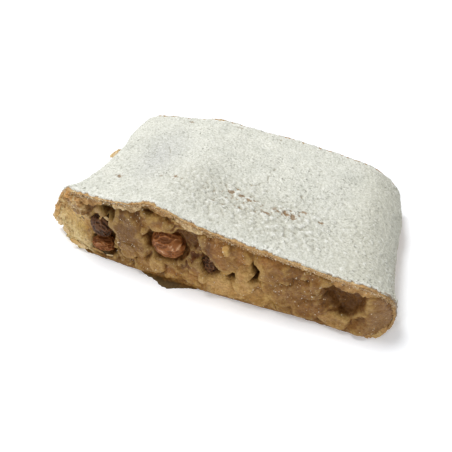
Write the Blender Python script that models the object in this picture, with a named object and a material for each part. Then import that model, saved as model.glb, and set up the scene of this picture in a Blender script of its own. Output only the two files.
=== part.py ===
"""A cut portion of apple strudel: a baked pastry tube round an apple filling, with raisins in both cut faces.

The portion lies on its flat underside. X runs along the width of the cut face, Y from the front cut to the
back cut, and Z up. The origin is at the middle of the underside of the bounding box.

The cross-section is a low dome. It is described by a column position "across", from 0 at the left side to 1
at the right side, and a station "along", from 0 at the front cut to 1 at the back cut.
"""

import math

import bmesh
import bpy
from mathutils import Matrix, Vector, noise

MM = 0.001

# Driving dimensions, in millimetres
FRONT_CUT_Y = -31.5
BACK_CUT_Y = 33.5
LEFT_SIDE = ((0.0, -65.2), (0.07, -62.6), (0.16, -59.6), (0.3, -57.9), (0.5, -57.2), (0.7, -57.3),
             (0.86, -58.9), (1.0, -57.8))
RIGHT_SIDE = ((0.0, 65.0), (0.1, 63.5), (0.25, 61.9), (0.5, 59.9), (0.7, 59.2), (0.85, 57.8), (1.0, 55.7))
CROWN_FRONT = ((0.0, 22.5), (0.1, 27.2), (0.2, 28.2), (0.3, 29.8), (0.37, 32.9), (0.5, 29.0),
               (0.65, 25.8), (0.8, 23.2), (0.9, 22.0), (1.0, 20.5))
CROWN_BACK = ((0.0, 18.0), (0.1, 21.4), (0.25, 23.6), (0.36, 25.4), (0.5, 24.4), (0.65, 23.4),
              (0.8, 21.2), (0.9, 19.2), (1.0, 16.5))

# Side walls: how high the widest point is, and how far in from it the rounding reaches
WIDEST_Z_LEFT = (3.2, 6.5)
WIDEST_Z_RIGHT = (6.0, 5.5)
SHOULDER_LEFT = (0.115, 0.085)
SHOULDER_RIGHT = (0.085, 0.12)
SHOULDER_POWER_LEFT = (1.26, 2.0)
SHOULDER_POWER_RIGHT = (2.3, 2.1)
FOOT_LEFT = 0.03
FOOT_RIGHT = 0.035
FOOT_POWER = 2.0

# Pastry walls
TOP_WALL = 2.4
BOTTOM_WALL = 1.7
INNER_LEFT_X = (-49.6, -51.0)
RIGHT_WALL = (4.6, 3.4)
GAP = 0.35
FILLING_STARTS_ALONG = 0.018

# The inside turns round at both sides, widest at a part of its height
INNER_ROUND_LEFT = 0.05
INNER_ROUND_RIGHT = 0.06
INNER_ROUND_POWER = 2.0
INNER_WIDEST_UP = 0.45
INNER_WIDEST_ROOF = 14.0

# The front cut falls back towards both corners
LEFT_CORNER_X = -43.0
LEFT_CORNER_FALL = (7.8, 22.0, 1.7)
RIGHT_CORNER_X = 52.0
RIGHT_CORNER_FALL = (5.6, 13.0, 2.4)
FRONT_BULGE = 1.3
FRONT_BULGE_X = -5.0
FRONT_BULGE_HALF_WIDTH = 40.0
BACK_BULGE = 0.5
BACK_HALF_WIDTH = 60.0

# A lip of the bottom crust runs out in front of the cut
LIP_X = -12.0
LIP_HALF_WIDTH = 11.5
LIP_REACH = 4.2
LIP_POWER = 1.5
LIP_WAVE = 0.15
LIP_WAVES = 7.0
LIP_FADE = 8

# A shallow crease in the top crust, beside the right side
CREASE_ACROSS = (0.80, 0.86)
CREASE_HALF_WIDTH = 0.035
CREASE_DEPTH = 0.9

# Mesh density
COLUMNS = 44
STATIONS = 9
CAP_ROWS = 7
CAP_RIM_ACROSS = 0.05
RAISIN_SUBDIVISIONS = 3
SHARP_EDGE = math.radians(50)

# The cut face of the filling stands back from its rim, with grain, hollows and apple pieces
CAP_DEPTH = 0.7
GRAIN_SCALE = 0.16
GRAIN_DEPTH = 0.7
CAP_RIM_POWER = 0.3
PATCH_POWER = 0.6

# Hollows and apple pieces in a cut face: middle x and z, half width, half height, depth or height, turn
FRONT_HOLLOWS = {
    "right": (48.6, 11.4, 6.6, 4.6, 7.5, -15),
    "right_low": (54.5, 5.8, 3.4, 2.8, 3.5, -45),
    "crack": (19.6, 15.4, 1.9, 4.2, 5.0, 20),
    "triangle": (11.6, 11.6, 2.4, 2.6, 3.6, -30),
    "low_crack": (24.8, 5.8, 1.4, 3.0, 3.0, 40),
    "left_top": (-35.6, 23.2, 4.6, 2.4, 6.0, 15),
    "middle_top": (-17.5, 27.6, 4.0, 1.8, 4.0, 0),
    "dark_top": (-4.6, 22.6, 3.4, 2.6, 6.0, 0),
    "dark_side": (-3.6, 16.0, 4.2, 4.6, 2.6, 0),
    "right_top": (37.0, 18.6, 4.2, 2.0, 3.0, -10),
}
FRONT_LUMPS = {
    "left_high": (-26.5, 20.0, 5.0, 6.0, 1.6, 0),
    "left_low": (-28.5, 8.6, 4.2, 4.4, 1.4, 0),
    "pale": (-13.8, 5.6, 2.8, 3.0, 1.8, 0),
    "inner_high": (9.0, 18.0, 4.8, 4.6, 1.6, 0),
    "inner_low": (8.6, 6.0, 4.6, 5.0, 1.5, 0),
    "cheek": (15.8, 9.6, 3.2, 5.0, 1.9, 0),
    "brown_high": (27.0, 17.6, 5.2, 4.6, 1.5, 0),
    "brown_low": (32.0, 9.0, 5.4, 4.0, 1.7, 0),
    "foot": (40.5, 6.0, 5.2, 3.2, 1.4, 0),
}
BACK_HOLLOWS = {
    "left": (-41.0, 11.5, 4.0, 3.2, 5.0, 20),
    "left_top": (-24.0, 18.6, 4.6, 2.0, 4.5, 0),
    "middle": (-6.5, 9.6, 1.8, 4.4, 4.0, -25),
    "top": (21.5, 18.4, 4.4, 2.0, 4.5, 0),
    "right": (45.0, 8.0, 4.0, 2.8, 5.0, 10),
}
BACK_LUMPS = {
    "left": (-34.0, 7.4, 5.0, 4.0, 1.6, 0),
    "left_middle": (-16.0, 12.0, 5.2, 4.8, 1.7, 0),
    "middle": (2.0, 15.4, 4.8, 4.2, 1.5, 0),
    "right_middle": (16.0, 8.0, 5.2, 4.2, 1.6, 0),
    "right": (33.0, 14.0, 5.0, 3.8, 1.6, 0),
}

# Raisins: which cut face, middle x and z, how deep the middle lies, three radii and a turn about Y
RAISINS = {
    "raisin_front_dark": ("front", -39.3, 14.0, 3.6, (4.6, 3.8, 5.5), 12),
    "raisin_front_low": ("front", -39.4, 5.3, 2.6, (4.9, 3.2, 2.6), -6),
    "raisin_front_golden": ("front", -12.4, 15.6, 3.2, (6.2, 4.6, 6.0), 35),
    "raisin_front_small": ("front", 3.4, 12.2, 3.4, (3.1, 3.4, 4.6), -8),
    "raisin_back_left": ("back", -27.0, 9.0, 3.4, (5.2, 4.0, 4.2), 20),
    "raisin_back_middle": ("back", 7.4, 6.6, 3.2, (4.6, 3.8, 3.8), -30),
    "raisin_back_right": ("back", 37.5, 7.6, 3.4, (5.0, 3.8, 3.6), 10),
}
RAISIN_WRINKLE = 0.12
RAISIN_WRINKLE_SCALE = 2.2

COLOURS = {
    "pastry": ((0.56, 0.36, 0.16), 0.65),
    "filling": ((0.30, 0.19, 0.09), 0.4),
    "raisin_dark": ((0.045, 0.02, 0.012), 0.35),
    "raisin_golden": ((0.21, 0.08, 0.035), 0.35),
}
GOLDEN_RAISINS = ("raisin_front_golden", "raisin_front_low", "raisin_back_middle")


def smooth_curve(points, t):
    """The value at t of a smooth curve through (t, value) points, with level ends (monotone Hermite pieces)."""
    if t <= points[0][0]:
        return points[0][1]
    for left, right in zip(points, points[1:]):
        if t <= right[0]:
            break
    else:
        return points[-1][1]
    i = points.index(left)
    span = right[0] - left[0]

    def slope(k):
        if k == 0 or k == len(points) - 1:
            return 0.0
        before, here, after = points[k - 1], points[k], points[k + 1]
        down = (here[1] - before[1]) / (here[0] - before[0])
        up = (after[1] - here[1]) / (after[0] - here[0])
        return 0.0 if down * up <= 0 else 2 * down * up / (down + up)

    s = (t - left[0]) / span
    start, end = slope(i) * span, slope(i + 1) * span
    return (
        (2 * s**3 - 3 * s**2 + 1) * left[1]
        + (s**3 - 2 * s**2 + s) * start
        + (3 * s**2 - 2 * s**3) * right[1]
        + (s**3 - s**2) * end
    )


def mix(pair, t):
    """Between the two values of a pair, front first and back second."""
    return pair[0] + (pair[1] - pair[0]) * t


def shoulder(distance, reach, power):
    """Rises from 0 at a side to 1 at reach from it, as a quarter of a superellipse."""
    s = min(max(distance / reach, 0.0), 1.0)
    return (1 - (1 - s) ** power) ** (1 / power)


def side_x(along):
    """The left and right extremes of the cross-section at a station."""
    return smooth_curve(LEFT_SIDE, along), smooth_curve(RIGHT_SIDE, along)


def crown(across, along):
    """The height of the top before the sides round off."""
    front = smooth_curve(CROWN_FRONT, across)
    back = smooth_curve(CROWN_BACK, across)
    eased = along * along * (3 - 2 * along)
    crease = (across - mix(CREASE_ACROSS, along)) / CREASE_HALF_WIDTH
    fade = math.sin(math.pi * min(max(along, 0.0), 1.0)) ** 2
    return front + (back - front) * eased - CREASE_DEPTH * fade * math.exp(-crease * crease)


def outer_heights(across, along):
    """The bottom and top of the outside of the pastry."""
    left_z, right_z = mix(WIDEST_Z_LEFT, along), mix(WIDEST_Z_RIGHT, along)
    widest = left_z + (right_z - left_z) * across
    rise = shoulder(across, mix(SHOULDER_LEFT, along), mix(SHOULDER_POWER_LEFT, along))
    rise *= shoulder(1 - across, mix(SHOULDER_RIGHT, along), mix(SHOULDER_POWER_RIGHT, along))
    foot = shoulder(across, FOOT_LEFT, FOOT_POWER) * shoulder(1 - across, FOOT_RIGHT, FOOT_POWER)
    return widest * (1 - foot), widest + (crown(across, along) - widest) * rise


def inner_heights(across, along, inset):
    """The x, bottom and top of the inside of the pastry, or of the filling if inset is more than 0."""
    outer_left, outer_right = side_x(along)
    left = mix(INNER_LEFT_X, along) + inset
    right = outer_right - mix(RIGHT_WALL, along) - inset
    x = left + (right - left) * across
    outer_across = (x - outer_left) / (outer_right - outer_left)
    floor = BOTTOM_WALL + inset
    roof = outer_heights(outer_across, along)[1] - TOP_WALL - inset
    widest = floor + (min(roof, INNER_WIDEST_ROOF) - floor) * INNER_WIDEST_UP
    round_off = shoulder(across, INNER_ROUND_LEFT, INNER_ROUND_POWER)
    round_off *= shoulder(1 - across, INNER_ROUND_RIGHT, INNER_ROUND_POWER)
    return x, widest + (floor - widest) * round_off, widest + (roof - widest) * round_off


def station_y(x, along):
    """Where a station lies for a given x: the front cut falls back at its corners, the back cut bulges."""
    fall, reach, power = LEFT_CORNER_FALL
    left = fall * (max(LEFT_CORNER_X - x, 0.0) / reach) ** power
    fall, reach, power = RIGHT_CORNER_FALL
    right = fall * (max(x - RIGHT_CORNER_X, 0.0) / reach) ** power
    bulge = max(1 - ((x - FRONT_BULGE_X) / FRONT_BULGE_HALF_WIDTH) ** 2, 0.0)
    front = FRONT_CUT_Y + left + right - FRONT_BULGE * bulge
    back = BACK_CUT_Y + BACK_BULGE * math.cos(x / BACK_HALF_WIDTH * math.pi / 2)
    return front + (back - front) * along


def lip(x):
    """How far the bottom crust runs out in front of the cut."""
    s = (x - LIP_X) / LIP_HALF_WIDTH
    if abs(s) >= 1:
        return 0.0
    return LIP_REACH * (1 - s * s) ** LIP_POWER * (1 - LIP_WAVE + LIP_WAVE * math.cos(s * LIP_WAVES))


def column(i):
    """Columns lie closer together towards the two sides, where the shape turns."""
    return 0.5 - 0.5 * math.cos(math.pi * i / COLUMNS)


def outer_point(i, top, along):
    """A point on the outside of the pastry, on its top or its bottom."""
    across = column(i)
    left, right = side_x(along)
    x = left + (right - left) * across
    bottom_z, top_z = outer_heights(across, along)
    y = station_y(x, along)
    if not top:
        y -= lip(x) * (1 - along) ** LIP_FADE
    return Vector((x, y, top_z if top else bottom_z))


def inner_point(i, top, along, inset=0.0):
    """A point on the inside of the pastry, or on the filling if inset is more than 0."""
    x, bottom_z, top_z = inner_heights(column(i), along, inset)
    y = station_y(x, along)
    if not top and inset == 0:
        y -= lip(x) * (1 - along) ** LIP_FADE
    return Vector((x, y, top_z if top else bottom_z))


def ring(mesh, point, along):
    """A closed loop of vertices round one station: along the bottom to the right, and back over the top."""
    bottom = [mesh.verts.new(point(i, False, along)) for i in range(COLUMNS + 1)]
    top = [mesh.verts.new(point(i, True, along)) for i in range(COLUMNS - 1, 0, -1)]
    return bottom + top


def join_rings(mesh, first, second):
    """Bridges two loops with the same number of vertices."""
    count = len(first)
    for k in range(count):
        after = (k + 1) % count
        mesh.faces.new((first[k], first[after], second[after], second[k]))


def make_object(name, mesh, material):
    """Turns a bmesh in millimetres into a named object in metres, shaded smooth with sharp cut edges."""
    bmesh.ops.recalc_face_normals(mesh, faces=mesh.faces[:])
    bmesh.ops.scale(mesh, vec=(MM, MM, MM), verts=mesh.verts[:])
    data = bpy.data.meshes.new(name)
    mesh.to_mesh(data)
    mesh.free()
    data.shade_smooth()
    data.set_sharp_from_angle(angle=SHARP_EDGE)
    data.materials.append(material)
    made = bpy.data.objects.new(name, data)
    bpy.context.scene.collection.objects.link(made)
    return made


def filling_stations():
    """The filling starts and ends a little inside the pastry, and has a station at each of the pastry's."""
    between = [k / STATIONS for k in range(1, STATIONS)]
    return [FILLING_STARTS_ALONG] + between + [1 - FILLING_STARTS_ALONG]


def make_pastry(material):
    """The baked pastry: one tube, open at both cuts, thick where its layers meet at the left side."""
    mesh = bmesh.new()
    stations = [0.0] + filling_stations() + [1.0]
    outside = [ring(mesh, outer_point, along) for along in stations]
    inside = [ring(mesh, inner_point, along) for along in stations]
    for skin in (outside, inside):
        for first, second in zip(skin, skin[1:]):
            join_rings(mesh, first, second)
    join_rings(mesh, outside[0], inside[0])
    join_rings(mesh, outside[-1], inside[-1])
    return make_object("pastry", mesh, material)


def patch_height(patches, x, z):
    """The greatest of some rounded patches at a point, each 1 in its middle times its height."""
    greatest = 0.0
    for middle_x, middle_z, half_x, half_z, height, turn in patches.values():
        angle = math.radians(turn)
        dx, dz = x - middle_x, z - middle_z
        across = (dx * math.cos(angle) + dz * math.sin(angle)) / half_x
        up = (dz * math.cos(angle) - dx * math.sin(angle)) / half_z
        inside = 1 - across * across - up * up
        if inside > 0:
            greatest = max(greatest, height * inside**PATCH_POWER)
    return greatest


def cap_relief(x, z, hollows, lumps):
    """How far the cut face of the filling stands back from the cut, in its hollows and between its pieces."""
    grain = noise.noise(Vector((x, z, 0.0)) * GRAIN_SCALE) * GRAIN_DEPTH
    return CAP_DEPTH + grain - patch_height(lumps, x, z) + patch_height(hollows, x, z)


def make_cap(mesh, loop, along, hollows, lumps):
    """Closes one end of the filling with rows of vertices between its bottom and top edges."""
    inward = 1 if along == 0 else -1
    columns = []
    for i in range(COLUMNS + 1):
        low = loop[i]
        high = loop[(2 * COLUMNS - i) % (2 * COLUMNS)]
        if low is high:
            columns.append([low] * (CAP_ROWS + 1))
            continue
        column_verts = [low]
        for row in range(1, CAP_ROWS):
            place = low.co.lerp(high.co, row / CAP_ROWS)
            rim = min(column(i) / CAP_RIM_ACROSS, (1 - column(i)) / CAP_RIM_ACROSS, 1.0)
            rim *= math.sin(math.pi * row / CAP_ROWS) ** CAP_RIM_POWER
            place.y += inward * rim * cap_relief(place.x, place.z, hollows, lumps)
            column_verts.append(mesh.verts.new(place))
        columns.append(column_verts + [high])
    for left, right in zip(columns, columns[1:]):
        for row in range(CAP_ROWS):
            corners = (left[row], right[row], right[row + 1], left[row + 1])
            unique = list(dict.fromkeys(corners))
            mesh.faces.new(unique)


def filling_point(i, top, along):
    """A point on the skin of the filling, a small gap inside the pastry."""
    return inner_point(i, top, along, GAP)


def make_filling(material):
    """The apple filling: one solid that runs through the pastry, with an uneven face at each cut."""
    mesh = bmesh.new()
    skin = [ring(mesh, filling_point, along) for along in filling_stations()]
    for first, second in zip(skin, skin[1:]):
        join_rings(mesh, first, second)
    make_cap(mesh, skin[0], 0, FRONT_HOLLOWS, FRONT_LUMPS)
    make_cap(mesh, skin[-1], 1, BACK_HOLLOWS, BACK_LUMPS)
    return make_object("filling", mesh, material)


def raisin_mesh(radii, grow, seed):
    """A wrinkled ellipsoid: an icosphere whose radius follows noise, stretched to three radii."""
    mesh = bmesh.new()
    bmesh.ops.create_icosphere(mesh, subdivisions=RAISIN_SUBDIVISIONS, radius=1.0)
    for vert in mesh.verts:
        fold = noise.noise(vert.co * RAISIN_WRINKLE_SCALE + Vector((seed, 0.0, seed * 0.5)))
        scale = 1 + RAISIN_WRINKLE * fold
        vert.co = Vector(vert.co[k] * (radii[k] * scale + grow) for k in range(3))
    return mesh


def make_raisin(name, spec, seed, material, grow=0.0):
    """One raisin, part of it standing out of the cut face of the filling."""
    face, x, z, depth, radii, turn = spec
    along = 0 if face == "front" else 1
    y = station_y(x, along) + (depth if face == "front" else -depth)
    mesh = raisin_mesh(radii, grow, seed)
    bmesh.ops.rotate(mesh, verts=mesh.verts[:], matrix=Matrix.Rotation(math.radians(-turn), 3, "Y"))
    made = make_object(name, mesh, material)
    made.location = Vector((x, y, z)) * MM
    return made


def cut_socket(filling, cutter):
    """Cuts the shape of a raisin, a little larger, out of the filling."""
    cutter.hide_render = True
    cutter.display_type = "WIRE"
    modifier = filling.modifiers.new("socket_" + cutter.name, "BOOLEAN")
    modifier.operation = "DIFFERENCE"
    modifier.object = cutter


def make_material(name):
    """A plain material of its own for each kind of sub-part."""
    colour, roughness = COLOURS[name]
    material = bpy.data.materials.new(name)
    material.use_nodes = True
    shader = material.node_tree.nodes["Principled BSDF"]
    shader.inputs["Base Color"].default_value = (*colour, 1)
    shader.inputs["Roughness"].default_value = roughness
    shader.inputs["Metallic"].default_value = 0
    material.diffuse_color = (*colour, 1)
    return material


def centre_on_box():
    """Moves everything so that the origin is at the middle of the underside of the bounding box."""
    bpy.context.view_layer.update()
    solids = [thing for thing in bpy.data.objects if not thing.hide_render]
    corners = [thing.matrix_world @ vert.co for thing in solids for vert in thing.data.vertices]
    low = Vector(min(corner[k] for corner in corners) for k in range(3))
    high = Vector(max(corner[k] for corner in corners) for k in range(3))
    middle = Vector(((low.x + high.x) / 2, (low.y + high.y) / 2, low.z))
    for thing in bpy.data.objects:
        thing.location -= middle
    bpy.context.view_layer.update()


def main():
    for old in list(bpy.data.objects):
        bpy.data.objects.remove(old)
    materials = {name: make_material(name) for name in COLOURS}
    make_pastry(materials["pastry"])
    filling = make_filling(materials["filling"])
    for seed, (name, spec) in enumerate(RAISINS.items()):
        kind = "raisin_golden" if name in GOLDEN_RAISINS else "raisin_dark"
        make_raisin(name, spec, seed, materials[kind])
        cutter = make_raisin("cutter_" + name, spec, seed, materials[kind], grow=GAP)
        cut_socket(filling, cutter)
    centre_on_box()


main()
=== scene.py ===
# %% [markdown]
# # A cut portion of apple strudel
#
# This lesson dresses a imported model, a few plain solids in their real places, as real food: a thin baked crust
# with leaves of dough at its fold, powdered sugar on top, and a moist filling of cooked apple and raisins. The
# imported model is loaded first. Every size below is in millimetres and follows from its boxes.

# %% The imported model
import math

import bpy
import numpy as np
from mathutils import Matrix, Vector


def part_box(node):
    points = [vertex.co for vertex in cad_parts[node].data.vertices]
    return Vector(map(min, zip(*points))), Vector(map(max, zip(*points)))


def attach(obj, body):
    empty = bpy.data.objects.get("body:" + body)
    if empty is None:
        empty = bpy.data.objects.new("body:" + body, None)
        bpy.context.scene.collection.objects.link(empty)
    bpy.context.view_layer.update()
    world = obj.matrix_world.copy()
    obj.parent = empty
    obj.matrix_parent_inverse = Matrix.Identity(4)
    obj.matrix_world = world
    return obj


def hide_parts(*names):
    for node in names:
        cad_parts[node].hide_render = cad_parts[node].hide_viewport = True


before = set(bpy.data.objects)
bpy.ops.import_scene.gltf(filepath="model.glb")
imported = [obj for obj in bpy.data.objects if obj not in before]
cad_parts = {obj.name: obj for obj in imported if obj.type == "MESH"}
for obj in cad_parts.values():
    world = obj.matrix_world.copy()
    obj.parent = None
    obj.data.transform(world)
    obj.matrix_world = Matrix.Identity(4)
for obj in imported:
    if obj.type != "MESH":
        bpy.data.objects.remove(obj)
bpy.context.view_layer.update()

MM = 0.001
pastry_low, pastry_high = (np.array(corner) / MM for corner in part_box("pastry"))
print("pastry", (pastry_high - pastry_low).round(1), "mm")

# %% [markdown]
# ## Randomness that never changes
#
# Food is uneven everywhere, so most shapes below need noise. Blender has noise textures, but they work one point
# at a time from Python. Here a hash turns whole arrays of lattice corners into fixed numbers, so a grid of fifty
# thousand points takes a moment and comes out the same on every run.

# %% Noise on whole arrays


def corner_value(cell, seed):
    """A fixed number from 0 to 1 for each integer lattice corner: its coordinates, mixed by a bit hash."""
    mixed = cell @ np.array([73856093, 19349663, 83492791]) + seed * 2654435761
    mixed = (mixed & 0xFFFFFFFF).astype(np.uint32)
    for shift, factor in ((16, 0x7FEB352D), (15, 0x846CA68B), (16, 1)):
        mixed = (mixed ^ (mixed >> np.uint32(shift))) * np.uint32(factor)
    return mixed / 2.0**32


def soft_noise(points, size, seed=0):
    """Smooth values from -1 to 1: the eased average of the numbers on the 8 lattice corners round a point."""
    scaled = np.asarray(points, float) / size + 500.0
    cell = np.floor(scaled).astype(np.int64)
    part = scaled - cell
    ease = part**3 * (part * (part * 6 - 15) + 10)
    total = np.zeros(scaled.shape[:-1])
    for corner in np.ndindex(2, 2, 2):
        weight = np.prod(np.where(corner, ease, 1 - ease), axis=-1)
        total += weight * corner_value(cell + np.array(corner), seed)
    return total * 2 - 1


def rough_noise(points, size, seed=0, octaves=3):
    """Soft noise plus half as much of half the size, and so on."""
    layers = [soft_noise(points, size / 2**k, seed + k) / 2**k for k in range(octaves)]
    return sum(layers) / (2 - 2.0 ** (1 - octaves))


def cell_noise(points, size, seed=0):
    """Distances to the nearest and second nearest of some scattered centres, in sizes, and the nearest's number."""
    scaled = np.asarray(points, float) / size + 500.0
    cell = np.floor(scaled).astype(np.int64)
    first = np.full(scaled.shape[:-1], 9.0)
    second = first.copy()
    number = np.zeros_like(first)
    for offset in np.ndindex(3, 3, 3):
        near = cell + np.array(offset) - 1
        jitter = np.stack([corner_value(near, seed + k) for k in range(3)], axis=-1)
        distance = np.linalg.norm(near + jitter - scaled, axis=-1)
        closer = distance < first
        second = np.where(closer, first, np.minimum(second, distance))
        number = np.where(closer, corner_value(near, seed + 3), number)
        first = np.where(closer, distance, first)
    return first, second, number


def ramp(value, low, high):
    """0 below low, 1 above high, and an eased slope between."""
    s = np.clip((value - low) / (high - low), 0, 1)
    return s * s * (3 - 2 * s)


def flat_points(a, b, c=0.0):
    """Stacks three coordinates, of which some may be single numbers, into points."""
    return np.stack(np.broadcast_arrays(a, b, c), axis=-1).astype(float)


sample = rough_noise(flat_points(np.linspace(0, 50, 2000), 0.0), 3.0)
print("rough noise runs from", sample.min().round(2), "to", sample.max().round(2))


# %% [markdown]
# ## From arrays to meshes
#
# Each new piece is an array of points on a grid of two parameters, with faces worked out from the grid's size.
# foreach_set copies such arrays into a mesh at once, which is far quicker than adding vertices one by one. The
# signed volume of the result says whether its faces point outwards, and all are turned round if they don't.

# %% Grids, sheets and pieces


def grid_faces(rows, columns, wrap_rows=False, wrap_columns=False):
    """The four-cornered faces between neighbours on a grid whose vertices are numbered row by row."""
    i = np.arange(rows if wrap_rows else rows - 1)[:, None]
    j = np.arange(columns if wrap_columns else columns - 1)[None, :]
    below, right = (i + 1) % rows, (j + 1) % columns
    corners = (i * columns + j, i * columns + right, below * columns + right, below * columns + j)
    return np.stack(np.broadcast_arrays(*corners), axis=-1).reshape(-1, 4)


def border(rows, columns):
    """The vertex numbers round the edge of a grid, in order."""
    ids = np.arange(rows * columns).reshape(rows, columns)
    return np.concatenate([ids[0, :-1], ids[:-1, -1], ids[-1, :0:-1], ids[:0:-1, 0]])


def closed_sheet(top, under):
    """Two grids of the same size, joined round their borders into one closed skin: its points and faces."""
    rows, columns = top.shape[:2]
    count = rows * columns
    faces = grid_faces(rows, columns)
    edge = border(rows, columns)
    after = np.roll(edge, -1)
    sides = np.stack([edge, edge + count, after + count, after], axis=-1)
    points = np.concatenate([top.reshape(-1, 3), under.reshape(-1, 3)])
    return points, np.concatenate([faces, faces[:, ::-1] + count, sides])


def outward(points, faces):
    """The same faces, all turned round if the signed volume they enclose is negative."""
    a, b, c, d = (points[faces[:, k]] for k in (0, 1, 2, -1))
    volume = np.einsum("ij,ij->", a, np.cross(b, c)) + np.einsum("ij,ij->", a, np.cross(c, d))
    return faces if volume > 0 else faces[:, ::-1]


def grid_normals(points, wrap_rows=False, wrap_columns=False):
    """A unit normal at each point of a grid, square to the lines between its neighbours."""

    def along(axis, wrap):
        if wrap:
            return np.roll(points, -1, axis) - np.roll(points, 1, axis)
        return np.gradient(points, axis=axis)

    normal = np.cross(along(1, wrap_columns), along(0, wrap_rows))
    return normal / np.maximum(np.linalg.norm(normal, axis=-1, keepdims=True), 1e-9)


PIECES = []


def make_piece(name, points, faces, slot, replaced=(), smooth=True, **values):
    """A closed mesh object from points in millimetres, with one number per vertex for each named value."""
    faces = outward(points, faces)
    mesh = bpy.data.meshes.new(name)
    mesh.vertices.add(len(points))
    mesh.vertices.foreach_set("co", (points * MM).astype(np.float32).ravel())
    mesh.loops.add(faces.size)
    mesh.loops.foreach_set("vertex_index", faces.astype(np.int32).ravel())
    mesh.polygons.add(len(faces))
    mesh.polygons.foreach_set("loop_start", np.arange(0, faces.size, faces.shape[1], dtype=np.int32))
    mesh.update(calc_edges=True)
    mesh.validate()
    mesh.polygons.foreach_set("use_smooth", np.full(len(mesh.polygons), smooth))
    for key, numbers in values.items():
        numbers = np.asarray(numbers, np.float32)
        if numbers.shape[-1] == 3:
            layer = mesh.attributes.new(key, "FLOAT_COLOR", "POINT")
            full = np.concatenate([numbers.reshape(-1, 3), np.ones((len(points), 1), np.float32)], axis=1)
            layer.data.foreach_set("color", full.ravel())
        else:
            layer = mesh.attributes.new(key, "FLOAT", "POINT")
            layer.data.foreach_set("value", numbers.ravel())
    piece = bpy.data.objects.new(name, mesh)
    bpy.context.scene.collection.objects.link(piece)
    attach(piece, "root")
    if replaced:
        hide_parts(*replaced)
    PIECES.append(piece)
    print(name, len(mesh.polygons), "faces")
    return piece


# %% [markdown]
# ## Paint in layers
#
# Baked and cooked food changes colour from place to place: toasted where it stood high, clear and yellow where
# syrup soaked in. Such broad colour is worked out here, for whole arrays, as a painter lays washes over each
# other, and the mesh carries the result at its vertices. Finer grain is left to the shader.

# %% Colours and washes


def colour(red, green, blue):
    """A colour as painters give it, 0 to 255, turned into the linear numbers that shaders use."""
    part = np.array([red, green, blue]) / 255
    return np.where(part <= 0.04045, part / 12.92, ((part + 0.055) / 1.055) ** 2.4)


def painted(shape, base, *washes):
    """A base colour all over, moved towards each wash's tint in turn, by its amount from 0 to 1 at each point."""
    paint = np.broadcast_to(colour(*base), (*shape, 3)).copy()
    for tint, amount in washes:
        paint = paint + (colour(*tint) - paint) * np.clip(amount, 0, 1)[..., None]
    return paint


def mingled(first, second, amount):
    """The first paint moved towards the second, by an amount at each point."""
    return first + (second - first) * amount[..., None]


def blot(x, z, middle_x, middle_z, half_x, half_z, turn=0.0, hardness=2.0):
    """1 in the middle of an ellipse and near 0 outside it: the fall of e to minus the distance's power."""
    angle = math.radians(turn)
    u = ((x - middle_x) * math.cos(angle) + (z - middle_z) * math.sin(angle)) / half_x
    w = ((z - middle_z) * math.cos(angle) - (x - middle_x) * math.sin(angle)) / half_z
    return np.exp(-((u * u + w * w) ** (hardness / 2)))


# %% [markdown]
# ## The shape of the portion
#
# The portion is a low dome in section, cut across at the front and the back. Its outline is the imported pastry's:
# the same few driving sizes and formulas, here for whole arrays. "across" runs from 0 at the left side to 1 at
# the right, "along" from 0 at the front cut to 1 at the back, and an angle goes once round the section.

# %% Driving sizes of the section
FRONT_CUT_Y = -31.5
BACK_CUT_Y = 33.5
CUT_TO_CUT = BACK_CUT_Y - FRONT_CUT_Y
LEFT_SIDE = ((0.0, -65.2), (0.07, -62.6), (0.16, -59.6), (0.3, -57.9), (0.5, -57.2), (0.7, -57.3),
             (0.86, -58.9), (1.0, -57.8))
RIGHT_SIDE = ((0.0, 65.0), (0.1, 63.5), (0.25, 61.9), (0.5, 59.9), (0.7, 59.2), (0.85, 57.8), (1.0, 55.7))
CROWN_FRONT = ((0.0, 22.5), (0.1, 27.2), (0.2, 28.2), (0.3, 29.8), (0.37, 32.9), (0.5, 29.0),
               (0.65, 25.8), (0.8, 23.2), (0.9, 22.0), (1.0, 20.5))
CROWN_BACK = ((0.0, 18.0), (0.1, 21.4), (0.25, 23.6), (0.36, 25.4), (0.5, 24.4), (0.65, 23.4),
              (0.8, 21.2), (0.9, 19.2), (1.0, 16.5))
WIDEST_Z_LEFT, WIDEST_Z_RIGHT = (3.2, 6.5), (6.0, 5.5)
SHOULDER_LEFT, SHOULDER_RIGHT = (0.115, 0.085), (0.085, 0.12)
SHOULDER_POWER_LEFT, SHOULDER_POWER_RIGHT = (1.26, 2.0), (2.3, 2.1)
FOOT_LEFT, FOOT_RIGHT = 0.03, 0.035
TOP_WALL, BOTTOM_WALL = 2.4, 1.7
INNER_LEFT_X, RIGHT_WALL = (-49.6, -51.0), (4.6, 3.4)
LEFT_CORNER_X, LEFT_CORNER_FALL = -43.0, (7.8, 22.0, 1.7)
RIGHT_CORNER_X, RIGHT_CORNER_FALL = 52.0, (5.6, 13.0, 2.4)
FRONT_BULGE, FRONT_BULGE_X, FRONT_BULGE_HALF_WIDTH = 1.3, -5.0, 40.0
BACK_BULGE = 0.5
LIP_X, LIP_HALF_WIDTH, LIP_REACH = -12.0, 11.5, 4.2
CREASE_ACROSS, CREASE_HALF_WIDTH, CREASE_DEPTH = (0.80, 0.86), 0.035, 0.9

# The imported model's origin is the middle of its box, so the design is moved to meet the pastry's own box.
SHIFT = np.array([pastry_low[0] - LEFT_SIDE[0][1], pastry_high[1] - BACK_CUT_Y - BACK_BULGE, 0.0])
print("design moved by", SHIFT.round(2), "mm")

# %% [markdown]
# A lathe or a bevelled curve could draw one section, but this one changes from the front to the back. So each
# point of the outline is worked out from its angle and from how far along it is, with curves through the driving
# sizes that never overshoot, and the two cuts follow x, as the knife left them rounded at the corners.

# %% Outline formulas


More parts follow.
